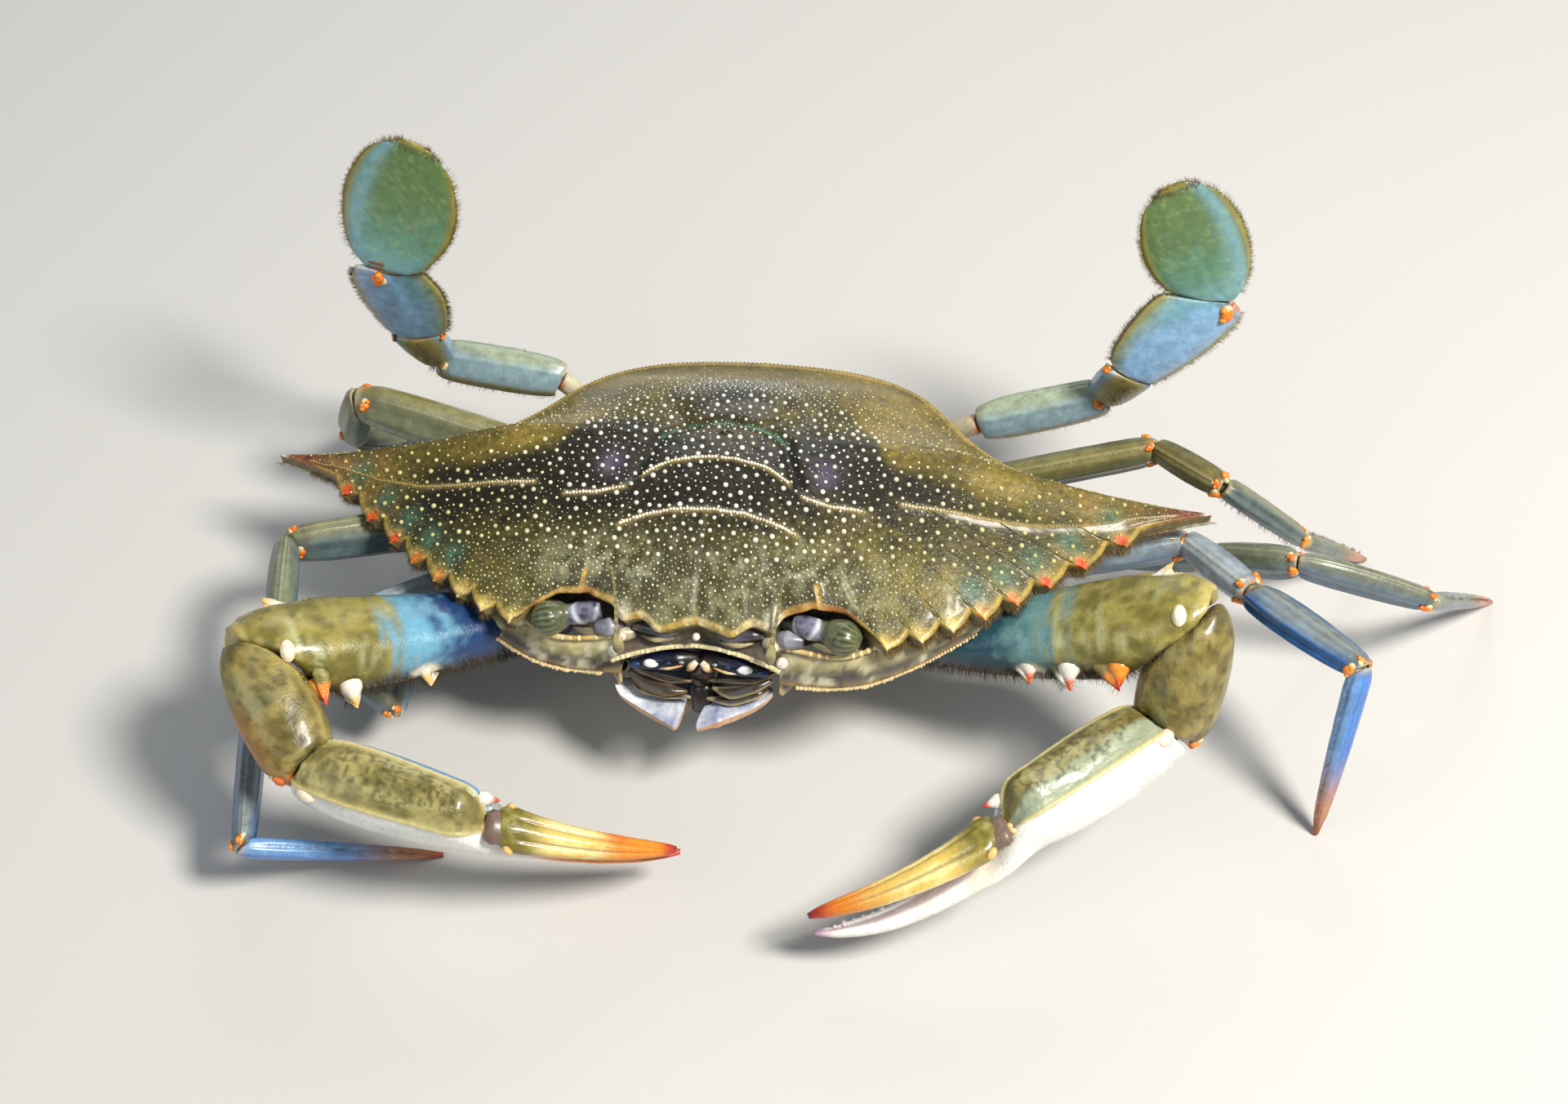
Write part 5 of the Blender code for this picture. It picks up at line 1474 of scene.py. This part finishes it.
def body_tube(path, radii, tints, sides=10):
    """A tube of the mouth through body-frame points, with the radii and tints it has at those points."""
    path = np.array(path, float)
    fine = np.vstack([spline(path, 6), path[-1:]])
    own, s = np.arange(len(path)), np.linspace(0, len(path) - 1, len(fine))
    radii = np.interp(s, own, np.broadcast_to(radii, len(path)))
    tints = np.broadcast_to([linear(c) for c in tints], (len(path), 3))
    tints = np.stack([np.interp(s, own, tints[:, k]) for k in range(3)], axis=1)
    points = placed(fine)
    ways = unit(np.gradient(points, axis=0))
    across = unit(np.cross(ways, (0.13, 0.21, 0.97)))
    ring = ring_of(sides, across[:, None], np.cross(ways, across)[:, None])
    rows = (points[:, None] + ring * radii[:, None, None]).reshape(-1, 3)
    MOUTH.add(rows, tube_faces(len(points), sides), np.repeat(tints, sides, axis=0))


def leaf(path, widths, normal, thick, face, edge):
    """A thin curved blade along body-frame points, its rim in another colour."""
    path = np.array(path, float)
    fine = np.vstack([spline(path, 5), path[-1:]])
    s = np.linspace(0, len(path) - 1, len(fine))
    widths = np.interp(s, np.arange(len(path)), widths)
    ways = unit(np.gradient(fine, axis=0))
    across = unit(np.cross(ways, np.asarray(normal, float)))
    up = np.cross(across, ways)
    shares = np.linspace(-1, 1, LEAF_STEPS)[:, None]
    swell = thick * (1 - shares ** 2 * 0.8)
    side_rim = step(0.62, 0.9, np.abs(np.vstack([shares, shares[::-1]])[:, 0]))
    rows, tints = [], []
    for k, middle in enumerate(fine):
        rows.append(middle + across[k] * widths[k] * shares + up[k] * swell)
        rows.append(middle + across[k] * widths[k] * shares[::-1] - up[k] * swell * 0.6)
        tints.append(mix(face, edge, np.maximum(side_rim, step(0.86, 1.0, k / (len(fine) - 1)))))
    MOUTH.add(placed(np.vstack(rows)), tube_faces(len(fine), 2 * LEAF_STEPS), np.vstack(tints))


def node_skin(node, levels):
    """A node's smooth mesh, its points and normals, and its points in the body frame."""
    mesh = smooth_mesh(node, levels)
    points = coordinates(mesh) / MM
    return mesh, points, point_normals(mesh), in_body(points)


def eye_stalk(side):
    """Stalk with its pale skin fold."""
    mesh, points, normals, body = node_skin(f"eye_{side}", 3)
    s = (body[:, 0] * SIGN[side] - EYE_START - EYE_OUT[side]) / EYE_LENGTH
    small = noise(points, 0.8, 111, 2)
    tint = coats(
        mix((122, 120, 142), (58, 58, 72), step(-0.4, 0.4, small)),
        ((216, 224, 230), 0.95 * bump(s - 0.29 - 0.06 * (body[:, 2] - 0.2), 0.045)),
        ((190, 190, 196), 0.7 * bump(s - 0.06 + 0.03 * (body[:, 2] - 0.2), 0.03)),
        ((94, 100, 68), step(0.40, 0.50, s)))
    lift = 0.08 * small - 0.12 * bump(s - 0.42, 0.03)
    skin(f"eye_{side}", mesh, points + normals * lift[:, None], "mouth", tint)


def cornea(side):
    """An olive cornea with upright dark ribs, its poles on the eye's own axis."""
    sign, out = SIGN[side], EYE_OUT[side]
    rows, columns = 40, 120
    axis = unit(np.array((EYE_LENGTH * sign, 1.9 + 0.3 * out, -0.8)))
    up = unit(np.array((0, 0, 1.0)) - axis[2] * axis)
    front = np.cross(axis, up) * (1 if np.cross(axis, up)[1] > 0 else -1)
    centre = np.array(((22.1 + out) * sign, 31.2 + 0.22 * out, -0.25))
    ribs = 0.5 + 0.5 * np.cos(np.arange(columns) * 2 * math.pi / columns * RIBS)
    long_half, high_half, front_half = CORNEA_HALF
    ring = ring_of(columns, up * high_half, front * front_half)
    made, tints = [], []
    for a in np.linspace(0.02, math.pi - 0.02, rows):
        made.append(centre - axis * math.cos(a) * long_half
                    + ring * math.sin(a) * (1 + 0.018 * ribs * math.sin(a) ** 1.5)[:, None])
        olive = mix((74, 82, 52), (126, 134, 88), 0.5 - 0.3 * math.cos(a))
        tints.append(mix(olive, (34, 34, 22), 0.8 * (1 - ribs) * math.sin(a) ** 0.5))
    made.append(made[-1].mean(axis=0)[None])
    tints.append(tints[-1][:1])
    faces = grid_faces(rows, columns) + [tuple(range(columns))[::-1]] + fan((rows - 1) * columns, columns)
    if sign > 0:
        faces = [face[::-1] for face in faces]
    points = placed(np.vstack(made))
    mesh_piece(f"cornea_{side}", points, faces, "cornea", np.vstack(tints))


def antenna(side):
    """A short jointed stalk and a ringed whip."""
    mesh, points, normals, body = node_skin(f"antenna_{side}", 3)
    s = (body[:, 2] + 2.0) / 10.5
    rings = 0.5 + 0.5 * np.cos(s * 90)
    tint = mix((168, 158, 104), (112, 100, 62), rings * step(0.2, 0.3, s))
    tint = mix((120, 108, 84), tint, step(0.02, 0.22, s))
    slimmer = ANTENNA_SLIMMING * step(0.05, 0.3, s) * (1 - step(0.7, 1.0, s))
    skin(f"antenna_{side}", mesh, points - normals * slimmer[:, None], "mouth", tint)


def third_maxilliped(side):
    """The outermost mouth flap, bluish and orange-edged with a painted highlight at its outer front corner,
    with setae along its inner edge.
    """
    node, sign = f"third_maxilliped_{side}", SIGN[side]
    mesh, points, normals, body = node_skin(node, 4)
    x, f = body[:, 0] * sign, body[:, 1]
    big, small = noise(points, 3.0, 121, 2), noise(points, 0.9, 122, 2)
    seam = bump(f - 29.9 - 0.12 * (x - 5), 0.3)
    tint = coats(
        mix((150, 158, 190), (206, 212, 222), step(-0.4, 0.5, big)),
        # painted highlight: white at the flap's outer front corner
        ((238, 240, 244), 0.9 * step(7.5, 9.5, x) * step(29, 32, f)),
        ((96, 100, 140), 0.5 * bump(x - 6.4, 1.2) * step(0.0, 0.4, small)),
        ((206, 150, 78), 0.8 * (1 - step(0.35, 0.75, np.abs(normals @ TURN[:, 2]))) * step(29, 32, f)),
        ((206, 196, 168), 0.6 * (1 - step(24, 29, f))),
        ((120, 92, 66), 0.8 * seam))
    points = points + normals * (0.10 * big + 0.04 * small - 0.25 * seam + 0.2 * bump(x - 3.2, 0.5))[:, None]
    skin(node, mesh, points, "mouth", tint)
    for _ in range(260):
        f = RNG.uniform(22, 35.5)
        near = np.argmin(np.abs(body[:, 1] - f) + np.abs(x - 2.1) * 0.9 + RNG.random(len(x)))
        FRINGE.hair(points[near], body_way((-sign, 0.6, RNG.normal(-0.2, 0.3))), RNG.uniform(0.6, 1.3), 0.06,
                    rgb(140, 112, 70) * RNG.uniform(0.7, 1.3), atlas(node, (f - 20) / 17, x[near] / 14))


def mouth_frame():
    mesh, points, normals, _ = node_skin("mouth_frame", 3)
    small = noise(points, 1.4, 131, 2)
    tint = mix((26, 30, 40), (66, 60, 66), step(-0.2, 0.7, small))
    skin("mouth_frame", mesh, points + normals * (0.15 * small)[:, None], "mouth", tint)


def mouth_arch(x):
    """The front rim of the mouth: forward and height at a distance from the midline."""
    k = np.abs(x) / 12.8
    return 31.7 + 2.8 * k ** 1.6, -3.3 - 1.4 * k ** 2


def mouthparts():
    """What shows between the frontal margin and the maxillipeds."""
    x = np.linspace(-12.8, 12.8, 15)
    f, z = mouth_arch(x)
    arch = np.stack([x, f + 0.45 + 0.18 * np.sin(x * 1.7), z + 0.1], axis=1)
    body_tube(arch, 0.38, [(226, 212, 160)])
    for p in spline(arch, 5)[::2]:
        MOUTH.body_dome(p, (0, 0.8, 0.5), 0.40 * RNG.uniform(0.7, 1.2), (238, 226, 180), CREAM, 1.3, 8)
    plate = np.vstack([np.stack([x, f + f_in, z + z_in], axis=1)
                       for f_in, z_in in ((0.2, 0.1), (-0.9, 0.8), (-1.9, 1.6), (-3.6, 2.6))])
    small = noise(placed(plate), 1.5, 141, 2)
    MOUTH.add(placed(plate) + 0.15 * small[:, None], [face[::-1] for face in grid_faces(4, len(x), False)],
              mix((110, 100, 82), (50, 44, 42), step(-0.3, 0.4, small)))
    for s in (1, -1):
        antennule_and_antenna_foot(s)
        jaws(s)
    # painted shade: the dark plug behind the outer mouthparts
    body_tube(*MOUTH_SHADE_PLUG)
    MOUTH.body_dome((0.0, 32.9, -0.4), (0, 0.9, 0.4), 0.62, WHITE, (170, 140, 90), 1.1, 12)


def side_tubes(tubes, s):
    """Tubes given for the left side, on the left where s is 1 and on the right where it is -1."""
    for path, *rest in tubes:
        body_tube(np.array(path) * (s, 1, 1), *rest)


def antennule_and_antenna_foot(s):
    """Antennules folded under the front, the antenna's foot with its knobs, and the orbit's lower rim."""
    side_tubes(ANTENNULE_TUBES, s)
    MOUTH.body_dome((s * 12.9, 33.6, -4.1), (s * 0.4, 0.8, 0.5), 0.95, WHITE, (206, 140, 70), 0.8, 14)
    MOUTH.body_dome((s * 11.6, 32.6, -1.9), (s * 0.2, 0.7, 0.7), 0.7, (246, 240, 214), (206, 160, 90),
                    0.7, 12)
    side_tubes(ORBIT_TUBES, s)
    for p in spline(np.array(ORBIT_TUBES[-1][0]) * (s, 1, 1), 5)[::2]:
        MOUTH.body_dome(p, (0, 0.8, 0.5), 0.42 * RNG.uniform(0.6, 1.3), (240, 224, 168), (196, 140, 70),
                        1.1, 8)


def jaws(s):
    """Mandible with its palp and painted highlights, and the dark layered blades of the maxillae, thinly
    edged with cream.
    """
    side_tubes(MANDIBLE_TUBES[:1], s)
    # painted highlights: white and blue glints set on the dark mandible
    for x, f, z, radius, tint in MANDIBLE_GLINTS:
        MOUTH.turned(placed((s * x, f - 0.15, z)), body_way((0.1 * s, 0.7, 0.7)), radius,
                     ((1.0, -0.2), (0.95, 0.12), (0.6, 0.3), (0.0, 0.36)), 12, tint, (20, 30, 50),
                     along=TURN[:, 0], stretch=1.8)
    side_tubes(MANDIBLE_TUBES[1:], s)
    for n, (f, z, wide) in enumerate(((34.0, -7.6, 0.5), (34.7, -8.7, 0.95), (34.9, -10.2, 0.8))):
        uneven = RNG.normal(0, 0.28, (4, 3)) * (0.4, 0.6, 1.0)
        path = uneven + ((11.8 - 0.8 * n, f - 1.5, z + 0.5 - 0.3 * n), (8.6, f - 0.1, z - 0.3),
                         (4.8, f + 0.4, z - 0.9), (1.2 + 0.7 * (n % 2), f + 0.1, z - 1.3))
        face = mix((40, 34, 30), (92, 82, 62), 0.5 * n * RNG.random())
        leaf(path * (s, 1, 1), (0.4 * wide, wide, 1.1 * wide, 0.2), (0.2 * s, 0.5, 0.85), 0.3, face,
             mix((120, 92, 54), (206, 190, 140), RNG.random()))
    leaf(((s * 12.6, 30.4, -8.0), (s * 13.2, 32.4, -9.2), (s * 12.4, 33.8, -10.8)), (1.2, 1.5, 0.4),
         (s * 0.7, 0.6, 0.4), 0.4, (150, 140, 116), (210, 184, 120))


def side_wall(side):
    """The wall between the orbit and the claw's foot, with its serrated ridge."""
    s = SIGN[side]
    upper, lower = spline(WALL_UPPER, 8), spline(WALL_LOWER, 8)
    rows = []
    for k in np.linspace(0, 1, 13):
        swell = 1.5 * math.sin(math.pi * k) + 1.3 * bump(k - 0.75, 0.10)
        rows.append((upper * (1 - k) + lower * k + (0, swell, 0)) * (s, 1, 1))
    grid = np.vstack(rows + [lower * (s, 1, 1) + (-s * 1.0, -5.0, 0.6)])
    small, fine = noise(grid, 2.4, 151, 2), noise(grid, 0.9, 152, 2)
    k = np.repeat(np.arange(14) / 12, len(upper))
    tint = coats(
        mix((176, 166, 116), (96, 92, 84), step(0.15, 0.6, k + 0.2 * small)),
        ((206, 196, 150), 0.8 * bump(k - 0.1, 0.1)),
        ((200, 160, 92), 0.8 * bump(k - 0.78, 0.08)),
        ((70, 62, 58), 0.7 * step(0.1, 0.5, fine)),
        ((222, 216, 182), 0.7 * step(0.15, 0.5, -small + 0.5 * fine) * (1 - step(0.75, 0.9, k))),
        ((60, 50, 44), step(0.85, 1.0, k)))
    wall = Bits()
    faces = grid_faces(14, len(upper), False)
    wall.add(placed(grid + (0.35 * small + 0.16 * fine)[:, None] * (0, 1, 0.3)),
             faces if s < 0 else [face[::-1] for face in faces], tint)
    ridge = (upper * 0.25 + lower * 0.75 + (0, 2.4, 0))[6:44] * (s, 1, 1)
    for p in spline(ridge, 2):
        wall.body_dome(p, (0, 0.8, -0.2), RNG.uniform(0.22, 0.36), (226, 204, 150), (170, 128, 74),
                       RNG.uniform(1.0, 1.8), 7)
    wall.piece(f"side_wall_{side}", "pale", "underside_shell")


def sternum_and_abdomen():
    """The underside's plates, parted by bowed grooves, and a row of short hairs across the abdomen."""
    for node in ("sternum", "abdomen"):
        mesh, points, normals, body = node_skin(node, 4)
        x, f, small = body[:, 0], body[:, 1], noise(points, 1.6, 161, 3)
        if node == "sternum":
            lines = [f - 17.0 + n * 7.2 + 0.10 * np.abs(x) * 6 for n in range(5)]
            tint = mix((226, 222, 204), (196, 184, 150), step(-0.1, 0.6, small))
        else:
            lines = [f - line + bow * x ** 2 for line, bow in ABDOMEN_SEAMS]
            tint = mix((218, 216, 206), (160, 172, 190), 0.6 * step(-0.1, 0.6, small))
            tint = mix(tint, (150, 128, 96), 0.5 * step(6, 13, np.abs(x)) * step(-0.1, 0.4, small))
        groove = np.maximum.reduce([bump(line, 0.32) for line in lines])
        tint = mix(tint, (120, 96, 66), 0.75 * groove)
        skin(node, mesh, points + normals * (0.12 * small - 0.35 * groove)[:, None], "pale", tint)
    for _ in range(700):
        x = RNG.uniform(-14, 14)
        f = 2.8 - 0.05 * x * x + RNG.normal(0, 0.2)
        place, way = placed((x, f, -17.6 + 0.01 * x * x)), body_way((x * 0.06, 0.8, -0.5))
        FRINGE.hair(place, way, RNG.uniform(0.8, 1.6), 0.06, rgb(150, 124, 84) * RNG.uniform(0.7, 1.3),
                    atlas("abdomen", (f + 30) / 40, (x + 15) / 30))


def margin_setae():
    """The brown felt under the front side teeth."""
    felt = Bits()
    length = run_along(LEFT_MARGIN)
    start, end = length[np.argmax(LEFT_MARGIN[:, 0] > 28.5)], length[np.argmax(LEFT_MARGIN[:, 0])]
    for sign in (1, -1):
        for _ in range(FELT_HAIRS):
            s = RNG.uniform(start, end - 5)
            x, f, z = (np.interp(s, length, LEFT_MARGIN[:, k]) for k in range(3))
            out = unit(np.array((x / 75, (f - CENTRE_F) / 30, 0))) * (sign, 1, 0)
            deep = RNG.uniform(0.3, 3.4)
            place = np.array((x * sign, f, z)) - out * (0.5 + 0.55 * deep) - (0, 0, 0.7 + 0.24 * deep)
            way = out * 0.8 + (RNG.normal(0, 0.25), RNG.normal(0, 0.25), RNG.uniform(-1.1, -0.3))
            root = np.array(((s - start) / (end - start) * 0.48 + (0.5 if sign > 0 else 0.0), deep / 3.5))
            felt.hair(placed(place), body_way(way), RNG.uniform(0.9, 1.9), 0.075,
                      mix((96, 72, 40), (160, 132, 80), RNG.random()) * RNG.uniform(0.7, 1.2), root, 0.25)
    felt.piece("margin_setae", "setae", "carapace_shell")


for SIDE in SIGN:
    eye_stalk(SIDE)
    cornea(SIDE)
    antenna(SIDE)
    third_maxilliped(SIDE)
    side_wall(SIDE)
mouth_frame()
mouthparts()
sternum_and_abdomen()
margin_setae()
MOUTH.piece("mouthparts", "mouth", "mouth_shell")
FRINGE.piece("limb_setae", "setae", "leg_shell")


# ---------------------------------------------------------------- floor, light and camera
CAMERA = {"azimuth": 9.2, "elevation": 48.4, "roll": -0.8, "distance": 0.40, "lens": 57.56,
          "target": (-0.016145, 0.013685, 0.02)}


def link(made):
    """Put an object of the stage, or the camera, into the scene."""
    bpy.context.scene.collection.objects.link(made)
    return made


def floor():
    mesh = bpy.data.meshes.new("floor")
    mesh.from_pydata([(-2.5, -2.5, 0), (2.5, -2.5, 0), (2.5, 2.5, 0), (-2.5, 2.5, 0)], [], [(0, 1, 2, 3)])
    paint = bpy.data.materials.new("pale_floor")
    paint.use_nodes = True
    fill(paint.node_tree.nodes["Principled BSDF"], {"Base Color": (0.62, 0.61, 0.58, 1), "Roughness": 0.85})
    mesh.materials.append(paint)
    link(bpy.data.objects.new("floor", mesh))


def light(name, place, size, power, colour):
    lamp = bpy.data.lights.new(name, "AREA")
    lamp.shape = "DISK"
    lamp.size = size
    lamp.energy = power
    lamp.color = colour
    made = link(bpy.data.objects.new(name, lamp))
    made.location = place
    made.rotation_euler = (Vector((0, 0, 0.02)) - Vector(place)).to_track_quat("-Z", "Y").to_euler()


def camera():
    a, e, r = (math.radians(CAMERA[k]) for k in ("azimuth", "elevation", "roll"))
    back = Vector((math.sin(a) * math.cos(e), -math.cos(a) * math.cos(e), math.sin(e)))
    right = Vector((math.cos(a), math.sin(a), 0))
    up = back.cross(right)
    turned_right = right * math.cos(r) + up * math.sin(r)
    turned_up = up * math.cos(r) - right * math.sin(r)
    data = bpy.data.cameras.new("camera")
    data.lens, data.sensor_width, data.clip_start = CAMERA["lens"], 36.0, 0.01
    made = link(bpy.data.objects.new("camera", data))
    rotation = Matrix((turned_right, turned_up, back)).transposed()
    place = Vector(CAMERA["target"]) + back * CAMERA["distance"]
    made.matrix_world = Matrix.Translation(place) @ rotation.to_4x4()
    bpy.context.scene.camera = made


floor()
light("key", (0.42, -0.16, 0.66), 0.22, 8.6, (1.0, 0.96, 0.90))
light("fill", (-0.55, -0.55, 0.60), 0.70, 1.8, (0.88, 0.94, 1.0))
light("rear", (-0.1, 0.75, 0.55), 0.50, 1.8, (0.95, 0.97, 1.0))
WORLD = bpy.data.worlds.new("studio")
WORLD.use_nodes = True
fill(WORLD.node_tree.nodes["Background"], {"Color": (0.82, 0.88, 1.0, 1), "Strength": 0.18})
bpy.context.scene.world = WORLD
bpy.context.scene.view_settings.view_transform = "Standard"
camera()
